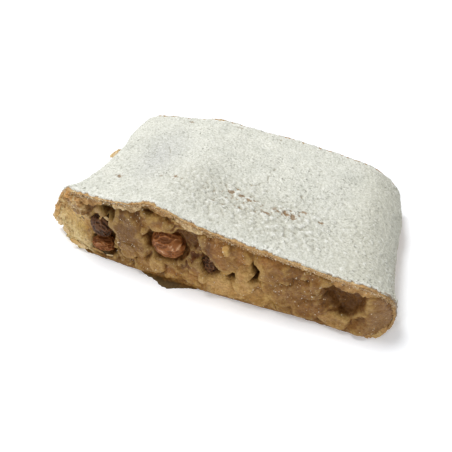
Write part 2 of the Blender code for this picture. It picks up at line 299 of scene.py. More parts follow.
def smooth_curve(points, t):
    """A curve through (t, value) points that never overshoots: cubic pieces with level ends, whose slope at a
    point is the harmonic mean of the slopes on both sides."""
    at, value = np.array(points, float).T
    step = np.diff(value) / np.diff(at)
    slope = np.zeros(len(at))
    product, total = step[:-1] * step[1:], step[:-1] + step[1:]
    slope[1:-1] = np.where(product > 0, 2 * product / np.where(product > 0, total, 1), 0)
    t = np.clip(t, at[0], at[-1])
    i = np.clip(np.searchsorted(at, t, side="right") - 1, 0, len(at) - 2)
    span = at[i + 1] - at[i]
    s = (t - at[i]) / span
    ends = (2 * s**3 - 3 * s**2 + 1) * value[i] + (3 * s**2 - 2 * s**3) * value[i + 1]
    return ends + span * ((s**3 - 2 * s**2 + s) * slope[i] + (s**3 - s**2) * slope[i + 1])


def mix(pair, t):
    return pair[0] + (pair[1] - pair[0]) * t


def shoulder(distance, reach, power):
    """Rises from 0 at a side to 1 at reach from it, as a quarter of a superellipse."""
    s = np.clip(distance / reach, 0, 1)
    return (1 - (1 - s) ** power) ** (1 / power)


def crown(across, along):
    """The height of the top before the sides round off, with a shallow crease near the right side."""
    eased = along * along * (3 - 2 * along)
    front, back = smooth_curve(CROWN_FRONT, across), smooth_curve(CROWN_BACK, across)
    crease = np.exp(-(((across - mix(CREASE_ACROSS, along)) / CREASE_HALF_WIDTH) ** 2))
    return front + (back - front) * eased - CREASE_DEPTH * np.sin(np.pi * along) ** 2 * crease


def outer_heights(across, along):
    """The bottom and top of the outside of the pastry."""
    left_z, right_z = mix(WIDEST_Z_LEFT, along), mix(WIDEST_Z_RIGHT, along)
    widest = left_z + (right_z - left_z) * across
    rise = shoulder(across, mix(SHOULDER_LEFT, along), mix(SHOULDER_POWER_LEFT, along))
    rise = rise * shoulder(1 - across, mix(SHOULDER_RIGHT, along), mix(SHOULDER_POWER_RIGHT, along))
    foot = shoulder(across, FOOT_LEFT, 2) * shoulder(1 - across, FOOT_RIGHT, 2)
    return widest * (1 - foot), widest + (crown(across, along) - widest) * rise


def station_y(x, along):
    """Where a station lies for a given x: the front cut falls back at both corners and bulges between."""
    fall, reach, power = LEFT_CORNER_FALL
    front = FRONT_CUT_Y + fall * (np.maximum(LEFT_CORNER_X - x, 0) / reach) ** power
    fall, reach, power = RIGHT_CORNER_FALL
    front = front + fall * (np.maximum(x - RIGHT_CORNER_X, 0) / reach) ** power
    front = front - FRONT_BULGE * np.maximum(1 - ((x - FRONT_BULGE_X) / FRONT_BULGE_HALF_WIDTH) ** 2, 0)
    back = BACK_CUT_Y + BACK_BULGE * np.cos(x / 60.0 * np.pi / 2)
    return front + (back - front) * along


def lip(x):
    """How far the bottom crust runs out in front of the cut."""
    s = np.clip((x - LIP_X) / LIP_HALF_WIDTH, -1, 1)
    return LIP_REACH * (1 - s * s) ** 1.5 * (0.85 + 0.15 * np.cos(s * 7))


def outer_point(angle, along):
    """A point on the outside of the pastry: left to right below for angles to pi, and back over the top."""
    across = 0.5 - 0.5 * np.cos(angle)
    left, right = smooth_curve(LEFT_SIDE, along), smooth_curve(RIGHT_SIDE, along)
    x = left + (right - left) * across
    low, high = outer_heights(across, along)
    below = angle < np.pi
    y = station_y(x, along) - np.where(below, lip(x) * (1 - along) ** 8, 0)
    return flat_points(x, y, np.where(below, low, high))


def inner_point(angle, along):
    """A point on the inside of the pastry, where the filling begins."""
    across = 0.5 - 0.5 * np.cos(angle)
    outer_left, outer_right = smooth_curve(LEFT_SIDE, along), smooth_curve(RIGHT_SIDE, along)
    left, right = mix(INNER_LEFT_X, along), outer_right - mix(RIGHT_WALL, along)
    x = left + (right - left) * across
    roof = outer_heights((x - outer_left) / (outer_right - outer_left), along)[1] - TOP_WALL
    widest = BOTTOM_WALL + (np.minimum(roof, 14.0) - BOTTOM_WALL) * 0.45
    bend = shoulder(across, 0.05, 2) * shoulder(1 - across, 0.06, 2)
    below = angle < np.pi
    y = station_y(x, along) - np.where(below, lip(x) * (1 - along) ** 8, 0)
    return flat_points(x, y, widest + (np.where(below, BOTTOM_WALL, roof) - widest) * bend)


def even_angles(count, start, end):
    """Angles that divide the outline between two angles into steps of equal length."""
    fine = np.linspace(start, end, 4000)
    steps = np.linalg.norm(np.diff(outer_point(fine, 0.3), axis=0), axis=-1)
    length = np.concatenate([[0], np.cumsum(steps)])
    print("outline", length[-1].round(1), "mm in", count, "steps")
    return np.interp(np.linspace(0, length[-1], count), length, fine)


# %% [markdown]
# ## The surface of the crust
#
# Strudel dough is pulled thin and rolled, so the baked skin is smooth over a hand's breadth and puckered close
# up. The sugar lies on this same surface, so the puckers are one function of place that both pieces use. The
# underside stays flat, because the portion rests on it.

# %% Puckered skin


def ragged_cut(x, z, along):
    """How the knife's edge wanders: a few tenths of a millimetre, only close to a cut."""
    flat = flat_points(x, z, 40.0 * np.round(along))
    wander = 0.45 * rough_noise(flat, 2.4, 11) + 0.22 * rough_noise(flat, 0.9, 12)
    return wander * (np.exp(-along * 40) + np.exp(-(1 - along) * 40))


def pucker(points):
    """How far the skin stands out of the plain outline, fading to nothing at the underside."""
    swell = 0.28 * soft_noise(points, 11.0, 21) + 0.16 * soft_noise(points, 4.2, 22)
    crinkle = 0.10 * (1 - 2 * np.abs(soft_noise(points * [1, 0.6, 1], 2.1, 23)))
    return (swell + crinkle) * ramp(points[..., 2], 0.2, 5.0)


def skin(angle, along):
    """A grid of points on the puckered outside of the pastry, with its normals."""
    plain = outer_point(angle, along)
    plain[..., 1] += ragged_cut(plain[..., 0], plain[..., 2], along)
    torn = 3.0 + 1.6 * rough_noise(plain, 1.6, 24)
    low_corner = np.exp(-along * 9) * ramp(-plain[..., 0], 55.0, 62.0) * ramp(8.5 - plain[..., 2], 0.0, 3.0)
    plain[..., 0] += torn * low_corner
    plain[..., 0] -= 1.5 * rough_noise(plain, 2.4, 25) * np.exp(-along * 14) * ramp(plain[..., 0], 55.0, 62.0)
    normal = grid_normals(plain)
    facing = np.sign(np.sum(normal * (plain - [0.0, 0.0, 12.0]), axis=-1, keepdims=True))
    normal = normal * np.where(facing == 0, 1, facing)
    normal[..., 1] *= 0.3
    return plain + normal * pucker(plain)[..., None], normal


# %% [markdown]
# ## The folded dough at the left
#
# The roll ends at the left side, where the leaves of dough lie on each other: toasted on top, beige and rough
# below, then clear and yellow where the syrup soaked in, and pale and torn at the floor. Both the crust and the
# filling show a part of it, so its relief and its colours are functions of x and z that both pieces use.

# %% Relief and colour of the fold
CREASE_LINE = ((-52.0, 17.6), (-45.4, 19.1), (-41.4, 21.2), (-37.8, 24.1), (-35.0, 27.4))


def near_line(x, y, start, end):
    """The distance from a straight line between two places."""
    start, end = np.array(start), np.array(end)
    run = end - start
    s = np.clip(((x - start[0]) * run[0] + (y - start[1]) * run[1]) / (run @ run), 0, 1)
    return np.hypot(x - start[0] - run[0] * s, y - start[1] - run[1] * s)


def near_path(x, y, path):
    """The distance from a path of straight lines."""
    return np.min([near_line(x, y, *ends) for ends in zip(path[:-1], path[1:])], axis=0)


def fold_hollow(x, z):
    """The clear yellow hollow in the middle of the fold."""
    middle, left = blot(x, z, -47.5, 12.6, 6.6, 5.6, -8, 4), blot(x, z, -52.5, 11.5, 5.0, 4.0, 20, 4)
    return np.maximum(middle, 0.7 * left)


def fold_relief(x, z):
    """How far the fold stands forward of the cut: a rough face, a smooth hollow, and a thin skin over a crack."""
    flat = flat_points(x, z)
    hollow = fold_hollow(x, z)
    rough = 0.60 * rough_noise(flat, 2.6, 31) + 0.44 * (1 - 2 * np.abs(rough_noise(flat, 1.2, 32)))
    leaves = 0.30 * np.cos((z - 0.35 * x + 1.6 * soft_noise(flat, 4.0, 33)) * 3.3) * ramp(z, 15.0, 19.0)
    skin_edge = near_path(x, z, CREASE_LINE)
    below_edge = near_path(x, z + 0.9, CREASE_LINE)
    lifted = 1.0 * np.exp(-((skin_edge / 0.6) ** 2)) - 1.5 * np.exp(-((below_edge / 0.55) ** 2))
    roll = 0.7 * ramp(z, 19.0, 22.0)
    torn_foot = 0.9 * ramp(9.0 - z, 0.0, 3.0) * (0.4 + 0.6 * soft_noise(flat, 1.7, 34))
    return (rough + leaves) * (1 - 0.8 * hollow) + lifted + roll + torn_foot - 2.0 * hollow - 0.3


def fold_paint(x, z):
    """Beige dough, toasted on top, with a clear yellow hollow and pale torn leaves at the floor and far left."""
    flat = flat_points(x, z)
    patch, grain = rough_noise(flat, 3.0, 41), rough_noise(flat, 0.9, 42)
    hollow = fold_hollow(x, z)
    crease = near_path(x, z + 0.6, CREASE_LINE)
    seeds = ramp(soft_noise(flat, 0.9, 47), 0.36, 0.50) * blot(x, z, -46.5, 15.0, 5.0, 3.0, -15, 3)
    pale = ramp(11.0 - z + 2.5 * grain, 0.0, 4.0) + ramp(-x - 55 + 3 * grain, 0, 4)
    return painted(
        x.shape, (214, 184, 134),
        ((162, 122, 74), 0.36 + 1.1 * patch),  # browner patches
        ((242, 224, 178), pale),
        ((220, 174, 116), ramp(z + 1.5 * grain, 22.4, 24.0)),  # the toasted top
        ((232, 200, 130), 0.95 * hollow),
        ((176, 122, 46), 0.75 * blot(x, z, -44.6, 11.0, 2.6, 5.2, 5, 3)),  # syrup beside the raisin
        # painted shade: a dark brown line in the crack just under the lifted skin
        ((128, 74, 28), 0.9 * np.exp(-((crease / 0.9) ** 2))),
        ((70, 48, 24), seeds),
        ((136, 96, 52), 0.7 * ramp(-grain, 0.22, 0.5) * (1 - hollow)),
        ((246, 234, 196), 0.75 * ramp(grain, 0.18, 0.5) * (1 - hollow)),
    )


# %% [markdown]
# ## The crust
#
# A tube open at both cuts has an outside, an inside and a cut edge at each end. A path that goes along the outside,
# in over the back edge, along the inside and out over the front edge is a closed loop, and so is the section. The
# whole crust is therefore one grid that wraps both ways, like a ring, and needs no stitching.

# %% The crust as one ring-shaped grid
CRUST_COLUMNS = 850
rows_outside, rows_back, rows_inside, rows_front = 58, 14, 3, 38
angles = even_angles(CRUST_COLUMNS + 1, 0.0, 2 * np.pi)[:-1]

outside_steps = np.linspace(0, 1, rows_outside)
outside_steps = outside_steps - 0.11 * np.sin(2 * np.pi * outside_steps)
row_along = np.concatenate([outside_steps, np.ones(rows_back), np.linspace(1, 0, rows_inside),
                            np.zeros(rows_front)])
row_depth = np.concatenate([np.zeros(rows_outside), np.linspace(0, 1, rows_back + 2)[1:-1],
                            np.ones(rows_inside), np.linspace(1, 0, rows_front + 2)[1:-1]])
along_grid, angle_grid = np.meshgrid(row_along, angles, indexing="ij")
depth_grid = np.repeat(row_depth[:, None], CRUST_COLUMNS, axis=1)

outside = skin(angle_grid[:rows_outside], along_grid[:rows_outside])[0]
edge_rows = np.where(row_along[rows_outside:, None, None] > 0.5, outside[-1], outside[0])
outside = np.concatenate([outside, edge_rows])
inside = inner_point(angle_grid, along_grid)
inside[..., 1] += np.where(angle_grid < np.pi, lip(inside[..., 0]) * (1 - along_grid) ** 8, 0)
crust = outside * (1 - depth_grid[..., None]) + inside * depth_grid[..., None]

# %% [markdown]
# Over the filling the cut edge is one thin browned leaf, standing proud, with the softer dough behind it drawn
# back under it. How deep a point lies in the wall, in millimetres, decides which of the two it belongs to.

# %% The cut edge
TOP_LEAF, SIDE_LEAF, BOTTOM_LEAF = 1.9, 0.7, 0.4
WALL_DRAWN_BACK = 2.8


def narrower_right(x):
    """The browned leaf's share of its full thickness: 1 at the left, 0.6 at the right."""
    return 1 - 0.4 * ramp(x, -5.0, 30.0)


wall = np.linalg.norm((inside - outside)[..., [0, 2]], axis=-1)
crust_x, crust_z = crust[..., 0], crust[..., 2]
on_cut = (along_grid == 0) | (along_grid == 1)
fold_part = ramp(-crust_x, 46.8, 49.4) * (along_grid < 0.5)
leaf = np.where(angle_grid < np.pi, BOTTOM_LEAF, TOP_LEAF * narrower_right(crust_x))
leaf = leaf + (SIDE_LEAF - leaf) * ramp(np.abs(crust_x), 55.0, 60.0)
leaf = leaf * (1 + 0.35 * rough_noise(flat_points(crust_x, crust_z), 2.2, 43))
drawn_back = WALL_DRAWN_BACK * ramp(depth_grid * wall, leaf, leaf + 0.5)
grit = 0.30 * rough_noise(flat_points(crust_x, crust_z), 1.0, 44)
relief = (grit - drawn_back) * (1 - fold_part) + fold_relief(crust_x, crust_z) * fold_part
inner_fade = ramp((1 - depth_grid) * wall, -0.1, 0.3)
fade = ramp(depth_grid * wall, 0.0, 0.35) * (inner_fade + (1 - inner_fade) * fold_part)
crust[..., 1] += np.where(along_grid < 0.5, -1, 1) * relief * fade * on_cut

# %% [markdown]
# An oven browns dough unevenly: golden all over, brown where it blistered, and paler along the cut, where crumbs
# and sugar stick to it. One colour and a noise in the shader would do for a bun, but not for the browned edge or
# the fold, which keep to their places. So the washes are laid here, the broadest first.

# %% Colours of the crust
crust_patch = rough_noise(crust, 6.0, 45)
crust_grain = rough_noise(crust, 1.1, 46)
toast = 0.5 + 0.6 * crust_patch + 0.3 * crust_grain
underside = ramp(1.4 - crust_z, 0.0, 1.0) * (depth_grid < 0.5)
near_cut = np.exp(-np.minimum(along_grid, 1 - along_grid) * 45) * (depth_grid < 0.9)
browned_edge = near_cut * ramp(crust_z, 2, 6)
# painted shadow: the lip of bottom crust in front of the cut, to be painted dark grey-brown as if in shade
lip_shadow = ramp(FRONT_CUT_Y - 1.6 - crust[..., 1], 0.0, 0.5) * ramp(2.6 - crust_z, 0, 1.5)
fold_amount = fold_part * ramp(depth_grid * wall, 0.0, 0.9)
crust_paint = painted(
    crust_x.shape, (204, 178, 132),
    ((182, 138, 84), ramp(toast, 0.2, 0.9)),
    ((138, 92, 48), ramp(toast, 0.85, 1.2)),
    ((150, 116, 76), underside),
    ((104, 76, 48), underside * ramp(crust_patch, -0.1, 0.5)),
    ((208, 176, 134), browned_edge * (0.85 + 0.3 * crust_grain)),
    ((244, 230, 200), browned_edge * ramp(crust_grain, 0.2, 0.5)),
    ((168, 126, 82), browned_edge * ramp(-crust_grain, 0.2, 0.5)),
    ((138, 104, 64), ramp(drawn_back, 0.3, 1.6) * (1 - fold_part)),  # the soft dough behind the edge, painted darker: partly its own colour, partly painted shade under the browned leaf
    ((150, 112, 64), near_cut * ramp(5.0 - crust_z, 0, 3) * (1 - fold_part)),  # the foot of the cut
    ((186, 154, 112), near_cut * ramp(crust_x, 56.0, 61.0)),  # the right end
    ((160, 140, 100), 0.6 * near_cut * (along_grid > 0.5)),  # the back cut
    # painted shadow on the lip of bottom crust in front of the cut
    ((98, 82, 60), lip_shadow),
)
crust_paint = mingled(crust_paint, fold_paint(crust_x, crust_z), fold_amount)
print("folded dough covers", round(100 * float((fold_amount > 0.5).mean()), 1), "% of the crust's points")

crust_piece = make_piece(
    "crust", crust.reshape(-1, 3) + SHIFT, grid_faces(*crust.shape[:2], True, True), "pastry", ["pastry"],
    paint=crust_paint, moist=fold_amount * fold_hollow(crust_x, crust_z),
)

# %% [markdown]
# ## Powdered sugar
#
# Sugar sifted over a warm crust packs into a matt layer half a millimetre thick: round clumps where it is thick,
# and bare crust where it was rubbed off or fell away. It is modelled as a second skin over the crust whose
# thickness is a function of place. Where that thickness drops below nothing the layer dives under the crust, so
# its ragged borders draw themselves.

# %% Where the sugar lies, and how thick
SUGAR_LAYER = 0.52
CLUMP_MEAN = 0.40
CRACK_DEPTH, CRACK_WIDTH = 0.42, 0.32
# A bare spot: its middle x and y, its half sizes along x and y, and its turn
BARE_SPOTS = (
    (23.7, -11.5, 2.2, 0.9, -8), (34.7, -9.5, 1.0, 0.5, 0), (-37.3, -17.0, 1.3, 0.9, 0),
    (-22.3, -13.5, 0.8, 0.5, 0), (-16.3, -14.5, 0.8, 0.6, 0), (28.0, -7.6, 1.2, 0.4, 20),
    (-10.3, 31.0, 1.0, 0.5, 0), (6.7, 30.5, 0.8, 0.4, 0), (3.0, -10.6, 0.9, 0.35, -10),
    (9.0, -11.6, 0.8, 0.3, 5), (16.5, -15.5, 0.7, 0.3, 0), (-31.0, 30.0, 1.0, 0.5, 0),
)
# A crack: the places where it starts and ends
CRACKS = (((10.7, 10.5), (11.7, 1.5)), ((24.7, 1.0), (26.0, -2.6)), ((2.0, -7.0), (6.0, -8.2)),
          ((-30.0, 8.0), (-27.5, 4.0)), ((11.7, 1.5), (7.0, -3.0)))


def clumps(points, size, seed):
    """Round heaps of different heights: each rises over its own centre like half a ball."""
    near, _, number = cell_noise(points, size, seed)
    return np.sqrt(np.clip(1 - (near / 0.9) ** 2, 0, 1)) * (0.3 + 0.7 * number)


def sugar_thickness(points, along):
    """Layer, clumps and powder, less the cracks and bare spots, and less near the cuts and down the sides."""
    x, y, z = (points[..., k] for k in range(3))
    flat = flat_points(x, y)
    coarse = np.exp(-(((x - 14) / 30) ** 2) - ((y + 15) / 11) ** 2)
    worn = 0.16 * coarse + 0.08 * blot(x, y, -34, 18, 12, 10)
    worn = worn + 0.12 * ramp(x, 46, 58) + 0.18 * ramp(z, 30.5, 32.8)
    thick = SUGAR_LAYER - worn + 0.10 * soft_noise(flat, 9.0, 51)
    thick = thick + (0.12 + 0.62 * coarse) * (clumps(points, 2.1, 52) - CLUMP_MEAN)
    thick = thick + (0.22 + 0.34 * coarse) * (clumps(points, 1.25, 53) - CLUMP_MEAN)
    thick = thick + 0.13 * soft_noise(points, 0.8, 54)
    for spot in BARE_SPOTS:
        rubbed = blot(x + 0.8 * soft_noise(flat, 1.1, 55), y + 0.5 * soft_noise(flat, 0.9, 56), *spot)
        thick = thick - rubbed * (0.34 + 0.45 * soft_noise(flat, 0.8, 59))
    for start, end in CRACKS:
        wavy = near_line(x + 0.9 * soft_noise(flat, 1.6, 57), y, start, end)
        thick = thick - CRACK_DEPTH * np.exp(-((wavy / CRACK_WIDTH) ** 2))
    front, back = along * CUT_TO_CUT, (1 - along) * CUT_TO_CUT
    ragged = 0.40 + 1.1 * rough_noise(flat_points(x, 0.6 * y), 1.4, 58)
    cover = ramp(front, ragged - 0.3, ragged + 0.5) * ramp(back, ragged - 0.4, ragged + 0.5)
    drift = 3.0 * rough_noise(points, 2.4, 61)
    cover = cover * np.where(x > 0, ramp(z + drift, 3.0, 9.0), ramp(z + drift, 3.0, 10.0))
    return thick * cover - 0.5 * (1 - cover)


# %% [markdown]
# The top of the layer needs a fine grid, three points to a millimetre, and its hidden underside doesn't. So the
# skin is closed by an underside with few rows, and the two different edges at each side are joined by fans.

# %% The sugar as a closed skin


def halves(quads):
    """Each four-cornered face as two triangles."""
    return np.concatenate([quads[:, [0, 1, 2]], quads[:, [0, 2, 3]]])


def layer_skin(top, under):
    """Points and triangles of a fine grid closed by one with the same columns but fewer rows."""
    rows, columns = top.shape[:2]
    coarse = len(under)
    count = rows * columns
    j = np.arange(columns - 1)
    last_top, last_under = (rows - 1) * columns, count + (coarse - 1) * columns
    front = np.stack([j + 1, j, count + j, count + j + 1], axis=-1)
    back = np.stack([last_top + j, last_top + j + 1, last_under + j + 1, last_under + j], axis=-1)
    i = np.arange(rows - 1)
    mate = np.round(np.arange(rows) * (coarse - 1) / (rows - 1)).astype(int)
    changed = mate[:-1] != mate[1:]
    sides = []
    for column, order in ((0, (0, 1, 2)), (columns - 1, (2, 1, 0))):
        upper, lower = i * columns + column, count + mate * columns + column
        fans = np.stack([upper, upper + columns, lower[1:]], axis=-1)
        steps = np.stack([upper, lower[1:], lower[:-1]], axis=-1)[changed]
        sides += [fans[:, order], steps[:, order]]
    grids = [grid_faces(rows, columns), grid_faces(coarse, columns)[:, ::-1] + count, front, back]
    faces = np.concatenate([halves(quads) for quads in grids] + sides)
    return np.concatenate([top.reshape(-1, 3), under.reshape(-1, 3)]), faces


SUGAR_ROWS, SUGAR_COLUMNS, UNDER_ROWS = 196, 450, 14
UNDER_DEPTH = 0.9
sugar_along, sugar_angle = np.meshgrid(np.linspace(0.010, 0.990, SUGAR_ROWS),
                                       even_angles(SUGAR_COLUMNS, np.pi, 2 * np.pi), indexing="ij")
sugar_base, sugar_normal = skin(sugar_angle, sugar_along)
thickness = sugar_thickness(sugar_base, sugar_along)
sugar_top = sugar_base + sugar_normal * thickness[..., None]
under_rows = np.round(np.linspace(0, SUGAR_ROWS - 1, UNDER_ROWS)).astype(int)
sugar_under = (sugar_base - sugar_normal * UNDER_DEPTH)[under_rows]
sugar_points, sugar_faces = layer_skin(sugar_top, sugar_under)
print("sugar is", thickness[thickness > 0].mean().round(2), "mm thick on average, at most", thickness.max().round(2))

# %% [markdown]
# Low places between the clumps are greyer, as less light gets there and the powder is thin, and the thinnest let
# the brown crust through. Both follow from the thickness: how far it lies below the average round it, and how
# little of it is left.

# %% Colours of the sugar


def soften(grid, radius, times=2):
    """Averages a grid over a square of cells, which blurs it; running sums keep that quick."""
    size = 2 * radius + 1
    for _ in range(times):
        for axis in (0, 1):
            padded = np.pad(grid, [(radius + 1, radius) if k == axis else (0, 0) for k in (0, 1)], "edge")
            total = np.cumsum(padded, axis=axis)
            ahead = np.take(total, np.arange(size, total.shape[axis]), axis=axis)
            behind = np.take(total, np.arange(0, total.shape[axis] - size), axis=axis)
            grid = (ahead - behind) / size
    return grid


SUGAR_WHITE = (250, 250, 242)
dip = np.clip((soften(thickness, 3) - thickness) / 0.3, -1, 1)
sugar_x, sugar_y, sugar_z = (sugar_base[..., k] for k in range(3))
sugar_paint = painted(
    thickness.shape, SUGAR_WHITE,
    ((234, 235, 227), 0.4 + 0.9 * rough_noise(sugar_base, 5.0, 62)),
    ((225, 224, 213), 0.9 * blot(sugar_x, sugar_y, 10.0, -16.0, 30.0, 13.0, -6, 2)),  # painted shade on the front slope, where the clumps are coarse
    ((226, 225, 213), 0.9 * ramp(sugar_x, 34.0, 52.0)),  # painted shade down the right side
    ((218, 219, 220), 0.6 * blot(sugar_x, sugar_y, -30.0, 2.0, 8.0, 18.0, 10, 2)),  # left of the crest
    # painted light on the tops of the clumps, painted shade in the hollows between them, where the powder is also
    # thin
    ((255, 255, 250), ramp(-dip, 0.15, 0.7)),
    ((194, 191, 178), 0.9 * ramp(dip, 0.15, 0.9)),
)
under_paint = painted((UNDER_ROWS, SUGAR_COLUMNS), SUGAR_WHITE)

thin = ramp(0.30 - thickness, 0.0, 0.45)
for middle_x, middle_y, half_x, half_y, turn in BARE_SPOTS:
    thin = thin + 0.72 * blot(sugar_x, sugar_y, middle_x, middle_y, 2.4 * half_x, 2.6 * half_y, turn, 1.5)
thin = thin + 0.52 * blot(sugar_x, sugar_y, 8.0, -13.0, 20.0, 6.5, -6, 3) * ramp(dip + 0.35, 0, 0.7)
thin = thin + 0.50 * ramp(sugar_x - 0.25 * sugar_z, 52.0, 58.0) + 0.45 * ramp(sugar_along, 0.965, 0.99)
thin = thin + 0.44 * ramp(0.034 - sugar_along, 0.0, 0.018)
thin = thin + 0.30 * ramp(-sugar_x - 0.4 * sugar_z, 44.0, 56.0) * ramp(sugar_along, 0.2, 0.5)
thin = np.clip(thin, 0, 1)
make_piece("sugar_coat", sugar_points + SHIFT, sugar_faces, "sugar",
           paint=np.concatenate([sugar_paint.reshape(-1, 3), under_paint.reshape(-1, 3)]),
           thin=np.concatenate([thin.ravel(), np.zeros(under_paint[..., 0].size)]))
print("crust shows through", round(100 * float((thin > 0.5).mean()), 1), "% of the sugar")

# %% [markdown]
# ## Loose grains and crumbs
#
# A smooth skin alone looks like icing, so thousands of tiny loose clumps lie on it. Each is the simplest round
# solid, a twenty-sided one with its corners pushed about, and all are joined in one mesh.

# %% A handful of small lumps
GOLDEN = (1 + math.sqrt(5)) / 2
ICO_CORNERS = np.array([(0, s, t * GOLDEN) for s in (-1, 1) for t in (-1, 1)])
ICO_CORNERS = np.concatenate([np.roll(ICO_CORNERS, k, axis=1) for k in range(3)]) / math.hypot(1, GOLDEN)


def icosahedron_faces():
    """Each three corners that lie one edge apart form a face, turned to point outwards."""
    apart = np.linalg.norm(ICO_CORNERS[:, None] - ICO_CORNERS[None], axis=-1)
    near = (apart > 0.1) & (apart < 1.2)
    faces = [(a, b, c) for a in range(12) for b in range(a + 1, 12) for c in range(b + 1, 12)
             if near[a, b] and near[b, c] and near[a, c]]
    faces = np.array(faces)
    a, b, c = (ICO_CORNERS[faces[:, k]] for k in range(3))
    turned = np.einsum("ij,ij->i", np.cross(b - a, c - a), a) < 0
    faces[turned] = faces[turned][:, ::-1]
    return faces


ICO_FACES = icosahedron_faces()


def random_turns(count, rng):
    """Random rotation matrices, from random unit quaternions."""
    turns = rng.normal(size=(count, 4)).T
    w, x, y, z = turns / np.sqrt((turns * turns).sum(axis=0))
    rows = [1 - 2 * (y * y + z * z), 2 * (x * y - z * w), 2 * (x * z + y * w),
            2 * (x * y + z * w), 1 - 2 * (x * x + z * z), 2 * (y * z - x * w),
            2 * (x * z - y * w), 2 * (y * z + x * w), 1 - 2 * (x * x + y * y)]
    return np.stack(rows, axis=-1).reshape(count, 3, 3)


def small_lumps(places, sizes, seed, squash=0.6):
    """One joined mesh of uneven twenty-sided lumps of the given radii at the given places."""
    rng = np.random.default_rng(seed)
    count = len(places)
    shape = ICO_CORNERS[None] * rng.uniform(0.7, 1.2, (count, 12, 1))
    shape = shape * rng.uniform(squash, 1.0, (count, 1, 3))
    turned = np.einsum("nij,nkj->nki", random_turns(count, rng), shape)
    points = places[:, None] + turned * sizes[:, None, None]
    faces = ICO_FACES[None] + 12 * np.arange(count)[:, None, None]
    return points.reshape(-1, 3), faces.reshape(-1, 3)


def make_lumps(name, places, sizes, slot, seed, squash=0.6, **values):
    """A piece of many small lumps, with each value repeated for a lump's 12 corners."""
    points, faces = small_lumps(places, sizes, seed, squash)
    repeated = {key: np.repeat(numbers, 12, axis=0) for key, numbers in values.items()}
    return make_piece(name, points + SHIFT, faces, slot, smooth=False, **repeated)


# %% [markdown]
# A particle system could scatter the grains, but joined meshes export as they stand and can be checked. Each
# grain's place is drawn from the sugar's own grid, more often where the layer is thick and in drifts.

# %% Grains on the sugar
rng = np.random.default_rng(7)
GRAINS = 7000
weight = np.clip(thickness, 0.02, None) * (0.3 + ramp(soft_noise(sugar_base, 5.0, 63), -0.4, 0.6))
weight = weight * (1 - ramp(sugar_z, 31.5, 32.6))
chosen = rng.choice(weight.size, GRAINS, p=(weight / weight.sum()).ravel())
grain_size = 0.10 + 0.17 * rng.random(GRAINS) ** 2
grain_place = sugar_top.reshape(-1, 3)[chosen] + rng.uniform(-0.15, 0.15, (GRAINS, 3))
grain_place += sugar_normal.reshape(-1, 3)[chosen] * grain_size[:, None] * 0.3
grain_paint = painted((GRAINS,), (246, 246, 238), ((255, 255, 252), rng.random(GRAINS)))
make_lumps("sugar_grains", grain_place, grain_size, "sugar", 8, paint=grain_paint, thin=np.zeros(GRAINS))

# %% [markdown]
# ## The apple filling
#
# Cooked apple keeps its cut pieces, with mash between and dark gaps where pieces fell away. A face of the filling
# is a field of heights over the cut. Each listed apple piece is a tilted, many-sided block in that field; the
# mash round it is a field of small tilted facets. The highest wins at every point, rounded off where two meet,
# so blocks overlap as real pieces do. Gaps are cut in last.

